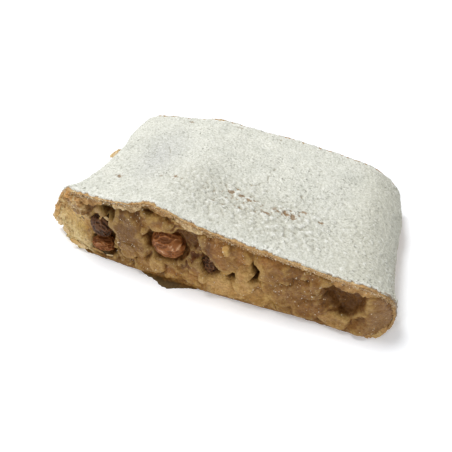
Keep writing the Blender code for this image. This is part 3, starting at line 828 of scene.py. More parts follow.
# %% The pieces of apple that can be told apart
# A piece: middle x and z, half width, half height, height over the mash, turn, tilt across and up, lightness
APPLE_FRONT = (
    (-27.0, 20.0, 5.4, 6.4, 1.5, 10, 0.03, 0.05, 0.1), (-31.8, 11.4, 2.6, 3.0, 0.3, -20, 0.15, 0.0, -0.6),
    (-27.2, 8.6, 3.8, 3.6, 1.3, 15, 0.0, 0.05, 0.25), (-22.0, 12.6, 2.6, 4.6, 0.8, 0, -0.1, 0.05, 0.2),
    (-21.5, 4.4, 3.8, 2.6, 1.1, 0, 0.0, 0.0, 0.1), (-14.6, 25.2, 3.4, 2.9, 1.2, -10, 0.05, 0.05, -0.1),
    (-16.2, 6.4, 2.6, 2.7, 1.8, 0, 0.03, 0.05, 0.5), (-9.4, 5.4, 3.2, 2.8, 1.2, 0, 0.0, 0.0, 0.1),
    (-0.9, 9.6, 2.7, 3.0, 1.1, 10, 0.0, 0.05, 0.2), (-3.6, 4.6, 3.4, 2.4, 1.0, 0, 0.0, 0.0, 0.2),
    (3.4, 21.6, 3.8, 3.4, 0.9, -20, 0.03, 0.05, 0.0), (8.8, 18.6, 5.4, 6.6, 1.4, -8, 0.02, 0.03, 0.1),
    (6.6, 6.6, 4.2, 5.6, 1.3, 5, 0.0, 0.03, 0.95), (13.6, 20.8, 4.6, 4.2, 1.0, 0, -0.03, 0.04, 0.0),
    (16.3, 10.4, 3.1, 5.6, 1.9, 4, 0.02, 0.03, 0.6), (13.0, 3.6, 3.6, 2.2, 1.1, 0, 0.0, 0.05, 0.6),
    (20.6, 5.0, 3.6, 3.6, 0.7, 0, 0.0, 0.05, 0.4), (25.2, 18.2, 5.8, 5.2, 1.7, -12, 0.02, 0.04, 0.05),
    (24.6, 10.2, 2.6, 3.0, 1.1, 0, 0.0, 0.0, 0.1), (31.2, 20.2, 3.2, 2.8, 0.8, 0, 0.0, 0.05, -0.2),
    (30.6, 9.8, 5.2, 4.6, 1.5, 8, -0.02, 0.03, 0.15), (29.6, 2.9, 3.6, 2.0, 1.1, 0, 0.0, 0.0, 0.1),
    (37.0, 14.2, 5.0, 4.4, 1.4, -10, 0.02, 0.03, 0.0), (38.8, 19.4, 5.0, 2.4, 1.3, -8, 0.0, 0.05, -0.1),
    (37.6, 5.4, 4.8, 3.6, 1.2, 0, 0.0, 0.03, 0.1), (42.4, 8.8, 2.8, 3.2, 1.2, 0, 0.0, 0.0, 0.1),
    (46.6, 3.8, 5.0, 2.4, 1.5, -4, 0.0, 0.0, 0.5), (55.2, 13.8, 3.6, 3.8, 0.9, 0, 0.05, 0.05, 0.0),
    (58.0, 6.6, 5.6, 5.2, 1.6, 0, 0.02, 0.04, 0.1), (58.6, 15.2, 2.8, 2.2, 1.4, -20, 0.0, 0.05, 0.25),
    (-37.6, 22.4, 3.0, 1.8, 0.4, 30, 0.0, 0.0, -0.3), (10.2, 22.7, 0.9, 1.5, 2.4, 0, 0.0, 0.0, 1.0),
    (1.7, 7.4, 1.0, 1.4, 2.6, 20, 0.0, 0.0, 1.0), (-12.4, 8.8, 2.4, 1.6, 1.1, -20, 0.0, 0.0, 0.1),
)
# A gap: middle x and z, half width, half height, depth, turn, and how steep its walls are
GAPS_FRONT = (
    (45.6, 13.8, 5.2, 7.2, 3.0, -14, 3), (51.4, 12.8, 5.0, 7.4, 2.9, -20, 3), (54.8, 6.4, 2.6, 4.0, 1.8, -35, 2),
    (20.0, 17.4, 1.7, 3.8, 4.2, 24, 4), (20.0, 12.8, 2.4, 2.2, 4.2, 0, 4), (11.7, 11.0, 2.2, 2.9, 2.8, -30, 5),
    (25.5, 5.2, 0.7, 3.2, 3.0, 40, 4), (-33.9, 24.2, 3.4, 3.4, 6.5, 10, 3), (-18.5, 28.8, 2.6, 1.3, 3.5, 0, 3),
    (-5.0, 23.9, 1.8, 1.3, 4.5, 0, 3), (-4.0, 20.8, 5.6, 5.4, 2.3, 10, 3), (-1.0, 15.6, 4.2, 2.6, 1.4, 0, 3),
    (36.6, 18.0, 1.7, 1.0, 1.6, 10, 3), (29.8, 15.1, 2.8, 0.5, 1.5, -6, 3), (40.4, 13.6, 1.6, 0.6, 1.3, -10, 3),
    (-37.4, 14.4, 6.2, 7.6, 5.0, 10, 6), (-38.8, 5.0, 7.4, 4.6, 4.2, -8, 6), (-12.6, 16.0, 8.6, 7.2, 3.3, -6, 8),
    (4.0, 12.6, 4.0, 4.6, 2.8, 0, 6), (34.6, 23.0, 2.4, 0.5, 1.6, -12, 3), (22.0, 26.0, 2.0, 0.6, 1.4, -14, 3),
    (-24.0, 5.6, 0.7, 2.0, 1.6, 20, 3), (-31.2, 7.4, 1.0, 1.6, 1.4, 30, 3),
)
APPLE_BACK = (
    (-38.0, 14.4, 4.0, 3.0, 1.2, 10, 0.05, 0.05, 0.1), (-34.0, 6.4, 5.0, 3.6, 1.2, 0, 0.0, 0.0, 0.3),
    (-16.0, 12.0, 5.2, 4.8, 1.6, 0, 0.03, 0.03, 0.3), (-12.0, 5.0, 4.0, 3.0, 1.1, 0, 0.0, 0.0, 0.6),
    (2.0, 15.4, 4.8, 4.2, 1.3, -10, 0.03, 0.03, 0.1), (16.0, 8.0, 5.2, 4.2, 1.5, 5, 0.0, 0.03, 0.5),
    (24.6, 14.4, 3.6, 3.4, 1.1, 0, 0.0, 0.05, 0.0), (33.0, 14.0, 5.0, 3.8, 1.3, 0, 0.03, 0.03, 0.2),
    (28.0, 5.0, 4.4, 3.0, 1.2, 0, 0.0, 0.0, 0.4), (46.0, 11.0, 3.6, 3.6, 1.2, 0, 0.0, 0.0, 0.1),
)
GAPS_BACK = (
    (-42.0, 11.0, 2.6, 3.4, 4.0, 20, 3), (-24.0, 18.6, 3.0, 1.4, 3.5, 0, 3), (-6.5, 9.6, 1.2, 4.0, 3.5, -25, 4),
    (21.5, 18.0, 3.0, 1.4, 3.5, 0, 3), (43.0, 5.6, 2.4, 2.0, 3.5, 10, 3), (-27.0, 9.0, 6.2, 5.0, 3.4, 20, 5),
    (7.4, 6.6, 5.6, 4.8, 3.2, -30, 5), (37.5, 7.6, 5.8, 4.6, 3.4, 10, 5),
)
print("apple pieces in front and behind:", len(APPLE_FRONT), len(APPLE_BACK))

# %% [markdown]
# Each block could be a mesh of its own, cut and placed by hand, but a hundred overlapping blocks are slow to
# make and leave faces inside. A field of heights costs a few array operations per block and gives one clean
# skin. A block's outline is a hexagon with rounded corners, and a shift of the coordinates by noise frays it.

# %% Fields of heights
MASH_LEVEL, FOOT_LEVEL = -1.9, -0.7


def smooth_max(a, b, blend):
    """The larger of two heights, rounded off where they come within blend of each other."""
    s = np.clip(0.5 + 0.5 * (a - b) / blend, 0, 1)
    return b + (a - b) * s + blend * s * (1 - s)


def turned(x, z, middle_x, middle_z, half_x, half_z, turn):
    """Coordinates in the frame of a turned ellipse: 1 long at its edges."""
    angle = math.radians(turn)
    dx, dz = x - middle_x, z - middle_z
    return ((dx * math.cos(angle) + dz * math.sin(angle)) / half_x,
            (dz * math.cos(angle) - dx * math.sin(angle)) / half_z)


def cut_outline(u, w, rng):
    """How far a point lies towards the edge of a piece with six straight cuts, their corners rounded: a power
    mean of its distances past them."""
    sides = (np.arange(6) + rng.uniform(-0.32, 0.32, 6)) * np.pi / 3 + rng.uniform(0, np.pi)
    past = [np.maximum(u * math.cos(side) + w * math.sin(side), 0) ** 9 for side in sides]
    return sum(past) ** (1 / 9)


def facets(x, z, size, seed, steep):
    """Small tilted facets: each scattered centre has its own slope and level, and the highest facet wins."""
    cell_x, cell_z = np.floor(x / size).astype(np.int64), np.floor(z / size).astype(np.int64)
    highest = np.full(x.shape, -9.0)
    for step_x, step_z in np.ndindex(3, 3):
        cell = np.stack([cell_x + step_x - 1, cell_z + step_z - 1, 0 * cell_x], axis=-1)
        shake_x, shake_z, slope_x, slope_z, level = (corner_value(cell + 900, seed + k) for k in range(5))
        dx = x / size - cell[..., 0] - shake_x
        dz = z / size - cell[..., 1] - shake_z
        plane = steep * ((slope_x - 0.5) * dx + (slope_z - 0.5) * dz + 0.7 * level) - 0.9 * (dx * dx + dz * dz)
        highest = smooth_max(highest, plane, 0.12)
    return highest * size * 0.28


def filling_field(x, z, pieces, gaps, seed):
    """The height of a cut face, its lightness, how deep its gaps are, and 1 where it is solid apple."""
    flat = flat_points(x, z)
    bent_x = x + 0.8 * soft_noise(flat, 2.6, seed) + 0.42 * rough_noise(flat, 1.0, seed + 1)
    bent_z = z + 0.8 * soft_noise(flat, 2.6, seed + 2) + 0.42 * rough_noise(flat, 1.0, seed + 3)
    height = MASH_LEVEL + 0.7 * soft_noise(flat, 8.0, seed + 4)
    height = height + facets(bent_x, bent_z, 3.4, seed + 5, 1.8)
    height = height + 0.8 * facets(bent_x, bent_z, 1.5, seed + 6, 2.0)
    height = height - 1.0 * ramp(rough_noise(flat, 2.2, seed + 10), 0.25, 0.6)
    light, solid = 0.6 * soft_noise(flat, 2.6, seed + 7), np.zeros_like(x)
    rng = np.random.default_rng(seed)
    for *outline, stand, turn, tilt_x, tilt_z, own_light in pieces:
        bend = min(1.0, outline[2] / 3.0)
        u, w = turned(x + (bent_x - x) * bend, z + (bent_z - z) * bend, *outline, turn)
        edge = cut_outline(u, w, rng)
        top = MASH_LEVEL + 0.9 + stand + tilt_x * (x - outline[0]) - tilt_z * (z - outline[1])
        top = top + 0.55 * facets(x, z, 3.0, seed + 8, 2.4) - 3.6 * np.clip(edge - 0.80, 0, None)
        share = ramp(top - height, -0.15, 0.15) * ramp(1.3 - edge, 0.0, 0.2)
        light, solid = light + (own_light - light) * share, solid + (1 - solid) * share
        height = np.where(edge < 1.9, smooth_max(height, top, 0.15), height)
    depth = np.zeros_like(x)
    for *outline, deep, turn, steep in gaps:
        u, w = turned(bent_x, bent_z, *outline, turn)
        radius = np.clip(np.hypot(u, w), 0, 1)
        depth = np.maximum(depth, deep * (1 - radius**steep))
    calm = 1 - 0.6 * ramp(depth, 1.5, 4.0)
    return MASH_LEVEL + (height - MASH_LEVEL) * calm - depth, light, depth, solid


# %% [markdown]
# Its colours are washes too: olive brown all over, yellower low in the middle, darker round the raisins where
# syrup gathered, brown painted shade in the gaps and creases, and painted light on the edges that stand out.

# %% Colours of the filling


def filling_paint(x, z, light, depth, solid, crease):
    """Washes over a cut face of the filling, from its coordinates and its field."""
    flat = flat_points(x, z)
    patch, spot, grain = rough_noise(flat, 6.0, 65), rough_noise(flat, 2.0, 66), rough_noise(flat, 0.8, 67)
    yellow = blot(x, z, 12.0, 5.0, 16.0, 5.5, 0, 4) + 0.6 * blot(x, z, -22.0, 6.0, 9.0, 4.0)
    stain = blot(x, z, -3.0, 18.5, 8.0, 7.5, 10, 3) + 0.8 * blot(x, z, -10.0, 12.0, 10.0, 6.0)
    stain = stain + 0.8 * blot(x, z, 4.0, 12.8, 3.8, 4.6) + 0.6 * blot(x, z, -38.0, 10.0, 6.5, 9.0, 0, 3)
    roof_shade = blot(x, z, -33.0, 24.5, 7.0, 3.0, 10, 3) + blot(x, z, -4.0, 23.5, 9.0, 3.6, -16, 3)
    mealy = 1 - 0.65 * solid
    return painted(
        x.shape, (176, 127, 70),
        ((182, 132, 76), ramp(patch, 0.0, 0.5)),
        ((174, 132, 72), ramp(-patch, 0.0, 0.5)),
        ((126, 90, 46), 0.9 * ramp(-x, 14.0, 26.0) + 0.55 * ramp(x, 20.0, 32.0)),  # darker to both sides
        ((202, 158, 90), 0.8 * yellow),
        ((224, 186, 128), ramp(light, 0.0, 1.0) * 0.85),
        ((120, 76, 32), ramp(-light, 0.0, 0.8) * 0.8),
        ((104, 56, 20), stain * (0.8 + 0.5 * spot)),  # syrup round the raisins
        ((172, 136, 94), 0.8 * blot(x, z, 60.5, 6.0, 5.0, 7.0, 0, 3)),  # the right end
        ((92, 56, 26), 0.65 * roof_shade),
        ((108, 68, 30), ramp(spot + 0.6 * grain, 0.1, 0.5) * 0.8 * mealy),
        ((218, 186, 124), ramp(-spot - 0.7 * grain, 0.25, 0.6) * 0.75 * mealy),
        ((216, 186, 122), ramp(-crease, 0.25, 0.8) * 0.45),  # painted light on edges that stand out
        # painted shade in the creases
        ((92, 56, 24), ramp(crease, 0.2, 1.0) * 0.7),
        # painted shade in the gaps, partly the darker syrup that gathers there
        ((118, 80, 42), ramp(depth, 0.8, 2.4) * 0.9),
        ((152, 112, 56), ramp(2.4 - z + 0.5 * grain, 0.0, 1.4) * 0.7),  # the floor
    )


# %% [markdown]
# The filling runs through from cut to cut, so it is one closed solid: the front face, the back face, and walls
# of a few rings between their borders. Its edges reach a little into the crust, so that no slit shows between
# the two. Before they are used, the heights are turned into a slope, and each point is pulled a little down it.

# %% The filling as one closed solid
FACE_COLUMNS, FACE_ROWS = 450, 100
TUCK = 0.9
TOP_COVER, SIDE_COVER, FLOOR_COVER = 1.85, 0.8, 0.4


def filling_point(across, up, along):
    """A point in the block of filling. Its edges reach into the pastry's wall, so that no slit shows."""
    outer_left, outer_right = smooth_curve(LEFT_SIDE, along), smooth_curve(RIGHT_SIDE, along)
    left, right = mix(INNER_LEFT_X, along) - TUCK, outer_right - SIDE_COVER
    x = left + (right - left) * across
    low, high = outer_heights((x - outer_left) / (outer_right - outer_left), along)
    floor, roof = low + FLOOR_COVER, high - TOP_COVER * narrower_right(x)
    return flat_points(x, station_y(x, along), floor + (roof - floor) * up)


def filling_face(along, pieces, gaps, seed):
    """One cut face: heights over the cut, pulled sideways so that tall pieces bulge over the gaps."""
    up, across = np.meshgrid(np.linspace(0, 1, FACE_ROWS), np.linspace(0, 1, FACE_COLUMNS), indexing="ij")
    place = filling_point(across, up, float(along))
    x, z = place[..., 0], place[..., 2]
    flat = flat_points(x, z)
    field, light, depth, solid = filling_field(x, z, pieces, gaps, seed)
    fold = ramp(-x + 1.5 * soft_noise(flat, 3.0, seed + 11), 41.5, 45.5) * (along == 0)
    height = field + (fold_relief(x, z) - field) * fold
    height = soften(height, 1, 1)
    height = height + (FOOT_LEVEL - height) * 0.75 * ramp(x, 55.5, 61.0)
    height = height + (FOOT_LEVEL - height) * 0.85 * ramp(2.8 - z, 0.0, 2.2)
    crease = np.clip((soften(height, 4) - height) / 0.6, -1, 1)
    pulp = 0.36 * rough_noise(flat, 1.6, seed + 12)
    pulp = pulp + 0.22 * (1 - 2 * np.abs(rough_noise(flat, 1.0, seed + 13)))
    slope_z, slope_x = np.gradient(soften(height, 2))
    inside = np.minimum(ramp(up, 0, 0.06) * ramp(1 - up, 0, 0.06), ramp(across, 0, 0.01) * ramp(1 - across, 0, 0.01))
    pull = 0.5 * ramp(height, MASH_LEVEL - 3.0, 0.0) * inside
    place[..., 0] -= np.clip(slope_x / 0.25, -1.2, 1.2) * pull
    place[..., 2] -= np.clip(slope_z / 0.25, -1.2, 1.2) * pull
    under_leaf = ramp(up, 0.90, 1.0) * 0.5 - 1.1 * ramp(4.2 - z, 0.0, 3.2) * (1 - fold)
    rough = pulp * (1 - 0.5 * fold) * (1 - 0.6 * solid) * ramp(z, 0.0, 3.0)
    place[..., 1] += (-1 if along == 0 else 1) * (height + rough - under_leaf)
    paint = mingled(filling_paint(x, z, light, depth, solid, crease), fold_paint(x, z), fold)
    return place, paint, np.maximum(fold * fold_hollow(x, z), ramp(depth, 0.5, 2.5) * 0.5)


front_face, front_paint, front_moist = filling_face(0, APPLE_FRONT, GAPS_FRONT, 81)
back_face, back_paint, back_moist = filling_face(1, APPLE_BACK, GAPS_BACK, 101)

face_count = FACE_ROWS * FACE_COLUMNS
loop = border(FACE_ROWS, FACE_COLUMNS)
loop_up, loop_across = loop // FACE_COLUMNS / (FACE_ROWS - 1), loop % FACE_COLUMNS / (FACE_COLUMNS - 1)
stations = np.linspace(0.06, 0.94, 6)
rings = np.stack([filling_point(loop_across, loop_up, along) for along in stations])
ring_ids = 2 * face_count + np.arange(rings[..., 0].size).reshape(len(stations), -1)
ring_ids = np.concatenate([loop[None], ring_ids, (loop + face_count)[None]])
after = np.roll(ring_ids, -1, axis=1)
walls = np.stack([ring_ids[:-1], ring_ids[1:], after[1:], after[:-1]], axis=-1).reshape(-1, 4)
face_ids = grid_faces(FACE_ROWS, FACE_COLUMNS)
filling_faces = np.concatenate([face_ids, face_ids[:, ::-1] + face_count, walls])
filling_points = np.concatenate([part.reshape(-1, 3) for part in (front_face, back_face, rings)])
print("front of the filling lies from y", front_face[..., 1].min().round(1), "to", front_face[..., 1].max().round(1))
ring_paint = painted(rings.shape[:2], (140, 102, 60))
filling_piece = make_piece(
    "apple_filling", filling_points + SHIFT, filling_faces, "filling", ["filling"],
    paint=np.concatenate([part.reshape(-1, 3) for part in (front_paint, back_paint, ring_paint)]),
    moist=np.concatenate([front_moist.ravel(), back_moist.ravel(), np.zeros(rings[..., 0].size)]),
)

# %% [markdown]
# ## Raisins
#
# A raisin is a grape that shrank: an egg shape whose skin folded into soft ridges. Sculpting would do for one,
# but seven need a rule. Each is a grid of two angles, closed at its poles, whose radius rises along ridges. They
# lie where a noise passes through zero, so they join up as real wrinkles do; stretching that noise along the
# raisin makes them run lengthwise, and two of the raisins also have rings round the end.

# %% Raisins in their sockets
RAISIN_ROWS, RAISIN_COLUMNS = 84, 130
# For each raisin: its kind, how deep its folds are, how far they are stretched sideways and upwards, and how
# much of them runs in rings round its end
RAISINS = {
    "raisin_front_dark": ("raisin_dark", 0.13, (1.0, 1.0), 0.6),
    "raisin_front_low": ("raisin_golden", 0.15, (1.8, 0.7), 0.0),
    "raisin_front_golden": ("raisin_golden", 0.10, (1.4, 0.8), 0.0),
    "raisin_front_small": ("raisin_dark", 0.14, (1.0, 1.0), 0.0),
    "raisin_back_left": ("raisin_dark", 0.13, (1.0, 1.0), 0.5),
    "raisin_back_middle": ("raisin_golden", 0.12, (1.3, 0.8), 0.0),
    "raisin_back_right": ("raisin_dark", 0.14, (1.0, 1.0), 0.0),
}


def raisin_shape(low, high, fold_depth, stretch, rings, seed):
    """An egg that fills a box: its radius is 1 + lump + fold_depth * (crest - 0.6), where crest is 1 on a ridge."""
    polar = np.linspace(0.0, np.pi, RAISIN_ROWS)[:, None]
    turn = np.linspace(0, 2 * np.pi, RAISIN_COLUMNS, endpoint=False)[None, :]
    ball = flat_points(np.sin(polar) * np.cos(turn), np.cos(polar) + 0 * turn, np.sin(polar) * np.sin(turn))
    bent = ball + 0.30 * np.stack([soft_noise(ball, 0.8, seed + k) for k in range(3)], axis=-1)
    run = bent * [1 / stretch[0], 1.0, 1 / stretch[1]]
    broad = 1 - np.clip(1.9 * np.abs(soft_noise(run, 0.50, seed + 4)), 0, 1)
    fine = 1 - np.clip(1.9 * np.abs(soft_noise(run, 0.22, seed + 5)), 0, 1)
    ring = 0.5 + 0.5 * np.cos(10 * polar + 2.2 * soft_noise(bent, 0.6, seed + 6))
    lump = 0.06 * soft_noise(ball, 0.9, seed + 7)
    crest = 0.52 * (broad + (ring - broad) * rings) + 0.48 * fine
    shaped = ball * (1 + lump + fold_depth * (crest - 0.6))[..., None]
    least, most = shaped.reshape(-1, 3).min(0), shaped.reshape(-1, 3).max(0)
    return (shaped - least) * (high - low) / (most - least) + low, crest


def pole_closed(points, values):
    """Points, triangles and values of a grid whose first and last rows are single points."""
    rows, columns = points.shape[:2]
    first = np.arange(columns)
    following = (first + 1) % columns
    last, total = (rows - 3) * columns, (rows - 2) * columns
    start = np.stack([np.full(columns, total), following, first], axis=-1)
    end = np.stack([np.full(columns, total + 1), last + first, last + following], axis=-1)
    faces = np.concatenate([halves(grid_faces(rows - 2, columns, wrap_columns=True)), start, end])
    poles = np.stack([points[0].mean(0), points[-1].mean(0)])
    values = np.concatenate([values[1:-1].ravel(), [values[0].mean(), values[-1].mean()]])
    return np.concatenate([points[1:-1].reshape(-1, 3), poles]), faces, values


raisin_pieces = {}
for seed, (node, (kind, *folds)) in enumerate(RAISINS.items()):
    low, high = (np.array(corner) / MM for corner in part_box(node))
    points, faces, crest = pole_closed(*raisin_shape(low, high, *folds, 131 + 11 * seed))
    name = node.replace("raisin", "plump_raisin")
    raisin_pieces[node] = make_piece(name, points, faces, kind, [node], crest=crest)

# %% [markdown]
# ## Flakes and torn leaves
#
# Thin dough breaks into flakes: at the left corner a ragged tuft sticks out, and pale strands bridge the gap over
# the dark raisin. A flake is a square grid eased into a disc with a ragged rim, then curled and given a
# thickness. Under the browned edge hang torn strips of the inner leaves, each a ribbon along the roof.

# %% Flakes
FLAKE_GRID = 17


def flake(middle, facing, lengthwise, length, width, curl, thick, seed):
    """Points and faces of one curled flake that lies square to the way it faces."""
    facing = np.array(facing, float) / np.linalg.norm(facing)
    first = np.array(lengthwise, float)
    first = first - facing * (first @ facing)
    first /= np.linalg.norm(first)
    second = np.cross(facing, first)
    u, v = np.meshgrid(np.linspace(-1, 1, FLAKE_GRID), np.linspace(-1, 1, FLAKE_GRID), indexing="ij")
    disc_u, disc_v = u * np.sqrt(1 - v * v / 2), v * np.sqrt(1 - u * u / 2)
    angle = np.arctan2(disc_v, disc_u)
    reach = 1 + 0.42 * rough_noise(flat_points(np.cos(angle), np.sin(angle)), 0.4, seed)
    a, b = disc_u * reach * length / 2, disc_v * reach * width / 2
    bend = curl * (disc_u**2 + 0.5 * disc_v**2) + 0.35 * curl * soft_noise(flat_points(a, b), 0.9, seed + 1)
    top = np.array(middle) + a[..., None] * first + b[..., None] * second + bend[..., None] * facing
    rim = 1 - 0.75 * np.maximum(np.abs(u), np.abs(v)) ** 4
    return closed_sheet(top, top - facing * (thick * rim)[..., None])


def joined(parts):
    """Several closed skins as one: their points in a row, and their faces numbered on."""
    starts = np.cumsum([0] + [len(points) for points, _ in parts])
    points = np.concatenate([points for points, _ in parts])
    return points, np.concatenate([faces + start for (_, faces), start in zip(parts, starts)])


# A flake: middle, the way it faces, the way its length runs, length, width, curl, thickness, and its colour
CREAM, STRAW, TAN, TOASTED = (240, 218, 180), (224, 194, 142), (210, 172, 122), (236, 218, 184)
TUFT = (
    ((-61.8, -24.9, 6.6), (-0.4, -0.7, 0.6), (1, 0, 0.5), 4.4, 2.8, -0.5, 0.6, CREAM),
    ((-61.4, -25.4, 9.4), (-0.6, -0.6, 0.4), (0.3, 0, 1), 4.4, 2.6, 0.4, 0.6, STRAW),
    ((-63.6, -24.2, 5.4), (-0.3, -0.8, 0.5), (1, 0.2, -0.8), 3.2, 1.8, 0.6, 0.5, CREAM),
    ((-63.0, -24.2, 8.2), (-0.7, -0.5, 0.3), (0.2, 0.1, 1), 3.8, 1.8, -0.4, 0.5, CREAM),
    ((-60.0, -26.6, 11.6), (-0.4, -0.8, 0.4), (0.5, 0, 1), 4.0, 2.6, 0.3, 0.6, STRAW),
    ((-60.2, -26.6, 6.0), (-0.2, -0.9, 0.3), (1, 0, 0.4), 3.8, 2.4, -0.4, 0.6, CREAM),
    ((-58.0, -27.8, 15.8), (-0.4, -0.8, 0.5), (0.6, 0, 1), 4.0, 2.6, 0.3, 0.6, TAN),
    ((-56.6, -28.2, 4.4), (-0.1, -0.9, 0.3), (1, 0, -0.4), 3.4, 2.0, 0.4, 0.6, CREAM),
    ((-51.0, -31.2, 3.0), (0, -1, 0.3), (1, 0, -0.3), 4.4, 1.6, 0.4, 0.6, STRAW),
    ((-47.2, -32.0, 2.6), (0, -1, 0.3), (1, 0, -0.2), 4.0, 1.5, -0.3, 0.6, CREAM),
)
CORNER = (
    ((57.4, -31.0, 0.9), (0, -0.9, 0.5), (1, 0, -0.1), 4.6, 2.2, 0.2, 0.8, TAN),
    ((60.6, -29.9, 1.2), (0.2, -0.9, 0.5), (1, 0.4, 0.2), 4.4, 2.6, 0.2, 0.9, STRAW),
    ((62.8, -28.4, 2.4), (0.6, -0.7, 0.4), (0.8, 0.6, 0.6), 3.8, 2.6, -0.3, 0.8, TAN),
)
STRANDS = (
    ((-37.0, -31.4, 20.6), (0, -1, 0.2), (0.45, 0, 1), 3.2, 0.8, 0.3, 0.5, TAN),
    ((-34.9, -31.6, 20.2), (0, -1, 0.3), (1, 0, -0.35), 2.2, 1.1, 0.2, 0.5, CREAM),
    ((-33.2, -31.5, 17.6), (0, -1, 0.2), (0.6, 0, -1), 2.0, 0.8, 0.2, 0.5, CREAM),
    ((-32.0, -31.6, 20.6), (0, -1, 0.2), (0.5, 0, 1), 2.0, 0.8, 0.2, 0.5, TAN),
    ((-41.6, -31.4, 2.4), (0, -1, 0.4), (1, 0, -0.2), 4.6, 0.7, 0.2, 0.4, TAN),
    ((-36.4, -31.6, 1.8), (0, -1, 0.4), (1, 0, 0.1), 3.4, 0.6, -0.2, 0.4, CREAM),
)
SIDE_FLAKES = (
    ((-52.8, 5.0, 18.6), (-0.5, -0.3, 0.8), (1, 0.2, 0.5), 5.2, 3.2, 0.5, 0.6, TOASTED),
    ((-53.4, 6.8, 17.4), (-0.4, 0.3, 0.9), (1, -0.4, 0.6), 4.6, 2.4, -0.4, 0.6, TOASTED),
)
flake_parts, flake_paint = [], []
for seed, (*shape, tint) in enumerate(TUFT + CORNER + STRANDS + SIDE_FLAKES):
    points, faces = flake(*shape, seed=200 + 5 * seed)
    flake_parts.append((points, faces))
    flake_paint.append(painted((len(points),), tint, ((170, 132, 84), rough_noise(points, 1.0, 70))))
print(len(flake_parts), "flakes")

# %% [markdown]
# Below the browned leaf more leaves hang down in strips where the knife tore them. A strip could be a flake too,
# but it has to keep to the roof, so it is a ribbon between two places along the cut, hung from the roof's own
# formula. All strips and flakes become one piece, as they share a finish and nothing moves them apart.

# %% Torn strips of inner leaf under the roof
STRIP_COLUMNS, STRIP_ROWS = 90, 9
# A strip: where it starts and ends along x, how far it hangs, how far behind the cut it lies, and its colour
STRIPS = (
    (-47.0, -36.0, 2.0, 0.4, TAN), (-31.5, -20.5, 1.9, 0.5, CREAM), (-17.0, -9.0, 1.2, 0.7, TAN),
    (-8.5, 4.5, 1.7, 0.4, CREAM), (3.0, 20.0, 1.0, 0.6, TAN), (18.0, 33.0, 1.2, 0.5, TAN),
    (31.0, 46.0, 1.7, 0.3, TAN), (42.0, 59.0, 2.1, 0.5, TAN),
)


def hanging_strip(start, end, hang, behind, seed):
    """A ribbon under the roof: along it the roof is followed, down it the width varies with noise and ends in
    nothing at both tips."""
    u, v = np.meshgrid(np.linspace(0, 1, STRIP_COLUMNS), np.linspace(0, 1, STRIP_ROWS))
    x = start + (end - start) * u
    flat = flat_points(x, 0 * x)
    width = hang * (0.25 + 0.75 * np.sin(np.pi * u) ** 0.6) * (0.75 + 0.6 * rough_noise(flat, 1.8, seed))
    left, right = LEFT_SIDE[0][1], RIGHT_SIDE[0][1]
    roof = outer_heights((x - left) / (right - left), 0.0)[1] - TOP_LEAF
    wave = 0.35 * rough_noise(flat_points(x, v * hang), 1.3, seed + 1)
    y = station_y(x, 0.0) + behind + wave - 0.5 * v * np.sin(np.pi * u)
    top = flat_points(x + 0.3 * soft_noise(flat, 1.0, seed + 2), y, roof - width * v + 0.5 * (1 - v))
    return closed_sheet(top, top + [0.0, 0.55, 0.15])


for seed, (*shape, tint) in enumerate(STRIPS):
    points, faces = hanging_strip(*shape, seed=300 + 7 * seed)
    flake_parts.append((points, faces))
    flake_paint.append(painted((len(points),), tint, ((158, 122, 84), 0.4 + rough_noise(points, 1.2, 71))))
flake_points, flake_faces = joined(flake_parts)
flakes_piece = make_piece("dough_flakes", flake_points + SHIFT, flake_faces, "pastry",
                          paint=np.concatenate(flake_paint), moist=np.zeros(len(flake_points)))

# %% [markdown]
# The knife leaves crumbs along the cut, and sugar falls on them. They are the same rough lumps as the grains of
# sugar, placed on the crust's outline with a normal spread, from tan to nearly white, and one in five is dark.

# %% Crumbs along the browned edge
CRUMBS = 3800
crumb_angle = rng.uniform(np.pi * 1.06, np.pi * 1.93, CRUMBS)
crumb_place = outer_point(crumb_angle, np.zeros(CRUMBS))
crumb_place += rng.normal(0, 1, (CRUMBS, 3)) * [0.2, 0.22, 0.15] - [0, 0.16, 0]
crumb_place[:, 2] -= np.abs(rng.normal(0, 0.6, CRUMBS))
pale_amount = rng.random(CRUMBS) ** 1.8
dark_amount = (rng.random(CRUMBS) < 0.2) * 0.8
crumb_paint = painted((CRUMBS,), (208, 172, 122), ((255, 249, 234), pale_amount), ((150, 96, 48), dark_amount))
crumbs_piece = make_lumps("edge_crumbs", crumb_place, 0.08 + 0.17 * rng.random(CRUMBS) ** 2, "pastry", 9,
                          paint=crumb_paint, moist=np.zeros(CRUMBS))

# %% [markdown]
# ## Beads of syrup
#
# The cut face glistens: hundreds of tiny beads of syrup and grains of sugar catch the light, and their pale paint
# is partly painted glint. They sit on the filling's own vertices, more of them on what stands out and fewer in the
# gaps.

# %% Beads on the filling
BEADS = 460
stands_out = ramp(-(front_face[..., 1] - station_y(front_face[..., 0], 0.0)), -3.0, -0.5)
bead_weight = (0.1 + stands_out) * (0.15 + ramp(rough_noise(front_face, 4.0, 72), 0.0, 0.5))
bead_weight[:3] = bead_weight[-3:] = 0
chosen = rng.choice(bead_weight.size, BEADS, p=(bead_weight / bead_weight.sum()).ravel())
bead_size = 0.09 + 0.20 * rng.random(BEADS) ** 3
bead_place = front_face.reshape(-1, 3)[chosen] - [0, 0.04, 0]
# partly painted glint: the beads are near white, like sparks of light, some washed golden as syrup
bead_glint_paint = painted((BEADS,), (250, 240, 214), ((210, 176, 122), rng.random(BEADS)))
beads_piece = make_lumps("syrup_beads", bead_place, bead_size, "filling", 10, 0.8, paint=bead_glint_paint)

# %% [markdown]
# ## Finishes
#
# A finish is a network of shader nodes. Written as Python expressions it reads like the formula it is: a small
# class stands for the value that comes out of a node, and its operators add Math nodes.

# %% Shader values as expressions


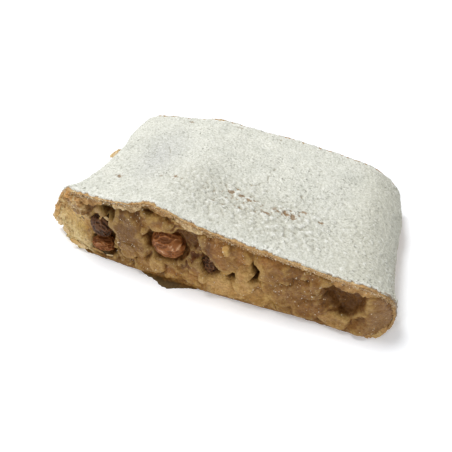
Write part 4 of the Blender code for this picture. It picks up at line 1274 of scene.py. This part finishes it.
class Value:
    """What comes out of a shader node. + - * / and ** with numbers or other values add Math nodes."""

    def __init__(self, finish, socket):
        self.finish = finish
        self.socket = socket

    def _math(self, operation, first, second):
        return self.finish.node("ShaderNodeMath", {"operation": operation}, {0: first, 1: second})

    def __add__(self, other):
        return self._math("ADD", self, other)

    def __radd__(self, other):
        return self._math("ADD", other, self)

    def __sub__(self, other):
        return self._math("SUBTRACT", self, other)

    def __rsub__(self, other):
        return self._math("SUBTRACT", other, self)

    def __mul__(self, other):
        return self._math("MULTIPLY", self, other)

    def __rmul__(self, other):
        return self._math("MULTIPLY", other, self)

    def __truediv__(self, other):
        return self._math("DIVIDE", self, other)

    def __pow__(self, other):
        return self._math("POWER", self, other)


class Finish:
    """A material and its nodes."""

    def __init__(self, name):
        self.material = bpy.data.materials.new(name)
        self.material.use_nodes = True
        self.tree = self.material.node_tree
        self.shader = self.tree.nodes["Principled BSDF"]

    def node(self, kind, settings=None, inputs=None, output=0):
        """Adds a node: its settings first, then the values or links of its sockets."""
        made = self.tree.nodes.new(kind)
        for key, value in (settings or {}).items():
            setattr(made, key, value)
        for key, value in (inputs or {}).items():
            self.feed(made.inputs[key], value)
        return Value(self, made.outputs[output])

    def feed(self, socket, value):
        if isinstance(value, Value):
            self.tree.links.new(value.socket, socket)
        else:
            socket.default_value = value

    def surface(self, **inputs):
        """Feeds the Principled shader's sockets, named with _ for each space."""
        for key, value in inputs.items():
            self.feed(self.shader.inputs[key.replace("_", " ")], value)

    def place(self):
        return self.node("ShaderNodeTexCoord", output="Object")

    def measure(self, name):
        """A number that the mesh carries at each vertex."""
        return self.node("ShaderNodeAttribute", {"attribute_name": name}, output="Fac")

    def paint(self):
        """The colour that the mesh carries at each vertex."""
        return self.node("ShaderNodeAttribute", {"attribute_name": "paint"}, output="Color")

    def noise(self, size, detail=3.0, roughness=0.55, stretch=(1, 1, 1)):
        """Noise from 0 to 1 with features of about this size in millimetres."""
        scale = tuple(1 / (size * MM) * s for s in stretch)
        scaled = self.node("ShaderNodeVectorMath", {"operation": "MULTIPLY"}, {0: self.place(), 1: scale})
        return self.node("ShaderNodeTexNoise", {}, {"Vector": scaled, "Scale": 1.0, "Detail": detail,
                                                    "Roughness": roughness})

    def steps(self, value, low, high):
        """0 to 1 between low and high, eased."""
        settings = {"interpolation_type": "SMOOTHSTEP"}
        return self.node("ShaderNodeMapRange", settings, {"Value": value, 1: low, 2: high})

    def blend(self, amount, first, second):
        """From the first colour to the second."""
        paint = [value if isinstance(value, Value) else (*value, 1) for value in (first, second)]
        return self.node("ShaderNodeMix", {"data_type": "RGBA"}, {0: amount, 6: paint[0], 7: paint[1]}, output=2)

    def multiply(self, first, second):
        """One colour times another."""
        settings = {"data_type": "RGBA", "blend_type": "MULTIPLY"}
        return self.node("ShaderNodeMix", settings, {0: 1.0, 6: first, 7: second}, output=2)

    def bump(self, height, strength, distance):
        return self.node("ShaderNodeBump", {}, {"Height": height, "Strength": strength, "Distance": distance * MM})

    def on(self, *pieces):
        for piece in pieces:
            piece.data.materials.clear()
            piece.data.materials.append(self.material)


# %% [markdown]
# Powdered sugar is the dullest of the finishes: rough, hardly shiny, with a fine grain in its colour and its
# bump, and dark grey specks of painted shade between the grains. Where the mesh's "thin" value is high, a noise
# decides which specks of the crust show through, so that the layer wears off in dots and not along a line.

# %% Powdered sugar
sugar = Finish("powdered_sugar")
powder = sugar.noise(0.7, 4, 0.75)
grain_tone = sugar.blend(sugar.steps(powder, 0.34, 0.66), colour(218, 218, 211), colour(255, 255, 254))
grey_patch = sugar.steps(sugar.noise(7.0, 3), 0.42, 0.62)
# painted shade: dark grey specks, more of them in grey patches
speck = sugar.steps(sugar.noise(0.9, 2, 0.6), 0.57, 0.68) * (0.16 + grey_patch * 0.50)
lit = sugar.blend(speck, sugar.multiply(sugar.paint(), grain_tone), colour(128, 126, 113))
show_through = sugar.steps(sugar.measure("thin") + (sugar.noise(0.8, 3, 0.6) - 0.5) * 1.5, 0.50, 0.78)
crust_tone = sugar.blend(sugar.noise(1.5, 2), colour(118, 90, 62), colour(176, 142, 104))
sugar.surface(Base_Color=sugar.blend(show_through * 0.75, lit, crust_tone), Roughness=0.95,
              Normal=sugar.bump(powder, 1.0, 0.45), Specular_IOR_Level=0.1)
sugar.on(*[piece for piece in PIECES if piece.name.startswith("sugar")])

# %% [markdown]
# Crust, dough, apple and raisins let some light in, which softens their shadows. A little subsurface scattering
# does that; more would blur the relief. The paint the mesh carries holds the large patches, and the shader only
# multiplies it by a fine shade that the mesh is too coarse for. Dough is matt, and moist in the fold's hollow.

# %% Baked dough
SOFT_LIGHT = {"Subsurface_Weight": 0.15, "Subsurface_Radius": (1.0, 0.7, 0.35)}
dough = Finish("baked_dough")
moist = dough.measure("moist")
grain = dough.noise(0.7, 4, 0.65)
shade = dough.blend(dough.steps(grain, 0.25, 0.75), colour(204, 187, 160), colour(255, 251, 238))
dough.surface(Base_Color=dough.multiply(dough.paint(), shade), Roughness=0.75 - moist * 0.4,
              Normal=dough.bump(grain + dough.noise(0.3, 2) * 0.5, 0.8, 0.22), Specular_IOR_Level=0.25,
              Specular_Tint=(1.0, 0.85, 0.6, 1), Subsurface_Scale=0.0015, **SOFT_LIGHT)
dough.on(crust_piece, flakes_piece, crumbs_piece)

# %% [markdown]
# Cooked apple is soft and wet, but not everywhere: a noise decides where its coat of syrup lies, and the rest is
# dull. White reflections would turn brown apple grey, so the tints of its gloss and coat are warm.

# %% Cooked apple and syrup
apple = Finish("cooked_apple")
pulp = apple.noise(0.8, 5, 0.65)
fibre = apple.noise(0.35, 3)
shade = apple.blend(apple.steps(pulp, 0.25, 0.75), colour(196, 176, 146), colour(255, 254, 244))
gloss = apple.noise(1.6, 4)
apple.surface(Base_Color=apple.multiply(apple.paint(), shade), Specular_IOR_Level=0.35,
              Specular_Tint=(1.0, 0.74, 0.42, 1), Coat_Tint=(1.0, 0.92, 0.75, 1),
              Roughness=0.42 + apple.steps(gloss, 0.35, 0.7) * 0.3 - apple.measure("moist") * 0.1,
              Normal=apple.bump(pulp + fibre * 0.5, 1.0, 0.55), Coat_Roughness=0.12,
              Coat_Weight=apple.steps(gloss, 0.62, 0.50) * 0.25, Subsurface_Scale=0.0016, **SOFT_LIGHT)
apple.on(filling_piece)

syrup = Finish("syrup")
syrup.surface(Base_Color=syrup.paint(), Roughness=0.08, Coat_Weight=1.0, Coat_Roughness=0.03)
syrup.on(beads_piece)

# %% [markdown]
# A raisin's skin is painted dark in the folds, as shade, and lighter on its ridges, as light they catch. The mesh
# carries how high each point stands, so both the colours and the coat follow the same ridges as the shape does.

# %% Raisin skins


def raisin_finish(name, fold, skin_tone, crest_tone):
    """Darker in the folds as painted shade, lighter on the crests as painted light, with a moist gloss."""
    finish = Finish(name)
    crest = finish.measure("crest")
    fleck = finish.noise(0.8, 4)
    body = finish.blend(finish.steps(crest, 0.25, 0.7), fold, skin_tone)
    top = finish.blend(finish.steps(crest + (fleck - 0.5) * 0.5, 0.75, 1.05), body, crest_tone)
    finish.surface(Base_Color=top, Roughness=0.38 + fleck * 0.25, Specular_IOR_Level=0.3,
                   Specular_Tint=(1.0, 0.8, 0.6, 1), Coat_Roughness=0.12,
                   Coat_Weight=finish.steps(crest + (fleck - 0.5) * 0.8, 0.66, 0.95) * 0.8,
                   Normal=finish.bump(finish.noise(0.6, 4) + crest, 0.8, 0.25),
                   Subsurface_Weight=0.15, Subsurface_Radius=(1.0, 0.5, 0.2), Subsurface_Scale=0.0015)
    return finish


dark_skin = raisin_finish("raisin_dark_skin", colour(50, 26, 10), colour(96, 58, 28), colour(160, 118, 76))
golden_skin = raisin_finish("raisin_golden_skin", colour(108, 60, 26), colour(150, 92, 46), colour(204, 152, 100))
for node, piece in raisin_pieces.items():
    (dark_skin if RAISINS[node][0] == "raisin_dark" else golden_skin).on(piece)
print(len(bpy.data.materials), "finishes")

# %% [markdown]
# ## Camera, floor and light
#
# The portion lies on a plain white floor. The camera stands in front, a little to the right and above, and its
# place is worked out from an aim, two angles and a distance, so that each can be changed alone.

# %% Camera
CAMERA_AZIMUTH, CAMERA_ELEVATION = math.radians(22.33), math.radians(42.0)
CAMERA_DISTANCE, FOCAL_LENGTH, SENSOR_WIDTH = 233.3, 47.79, 36.0
AIM = np.array([-4.08, 1.13, 0.0]) + SHIFT
back = np.array([math.sin(CAMERA_AZIMUTH) * math.cos(CAMERA_ELEVATION),
                 -math.cos(CAMERA_AZIMUTH) * math.cos(CAMERA_ELEVATION), math.sin(CAMERA_ELEVATION)])
camera = bpy.data.objects.new("camera", bpy.data.cameras.new("camera"))
camera.data.sensor_width = SENSOR_WIDTH
camera.data.lens = FOCAL_LENGTH
camera.data.clip_start = 0.01
camera.location = (AIM + back * CAMERA_DISTANCE) * MM
camera.rotation_euler = (math.pi / 2 - CAMERA_ELEVATION, 0, CAMERA_AZIMUTH)
bpy.context.scene.collection.objects.link(camera)
bpy.context.scene.camera = camera
print("camera at", [round(value, 3) for value in camera.location], "m")

# %% [markdown]
# The soft light comes from a square lamp above and a little behind on the left, so that the shadow falls to the
# right and the front. A weak lamp in front keeps the cut face readable, and a small one makes the syrup sparkle.
# The floor glows a little, or it would be greyer than white paper.

# %% Floor and lights
HALF = 3
floor_mesh = bpy.data.meshes.new("floor")
floor_mesh.from_pydata([(-HALF, -HALF, 0), (HALF, -HALF, 0), (HALF, HALF, 0), (-HALF, HALF, 0)], [], [(0, 1, 2, 3)])
floor = bpy.data.objects.new("floor", floor_mesh)
bpy.context.scene.collection.objects.link(floor)
paper = Finish("white_floor")
paper.surface(Base_Color=(0.91, 0.93, 0.96, 1), Roughness=0.9, Specular_IOR_Level=0.0,
              Emission_Color=(1, 1, 1, 1), Emission_Strength=0.17)
paper.on(floor)


LIT_POINT = np.array([0, 0, 0.01])


def area_light(name, place, size, watts):
    """A square light at a place in metres that faces the portion."""
    light = bpy.data.lights.new(name, "AREA")
    light.size = size
    light.energy = watts
    lamp = bpy.data.objects.new(name, light)
    lamp.location = place
    away = np.array(place) - LIT_POINT
    lamp.rotation_euler = (math.atan2(math.hypot(away[0], away[1]), away[2]), 0, math.atan2(away[0], -away[1]))
    bpy.context.scene.collection.objects.link(lamp)


area_light("key", (-0.32, 0.05, 0.89), 0.32, 6.0)
area_light("front_fill", (0.25, -0.9, 0.65), 0.6, 0.8)
area_light("spark", (-0.22, -0.62, 0.42), 0.04, 0.6)

world = bpy.data.worlds.new("studio")
world.use_nodes = True
background = world.node_tree.nodes["Background"].inputs
background["Color"].default_value = (1, 1, 1, 1)
background["Strength"].default_value = 0.45
bpy.context.scene.world = world
bpy.context.scene.view_settings.view_transform = "Standard"
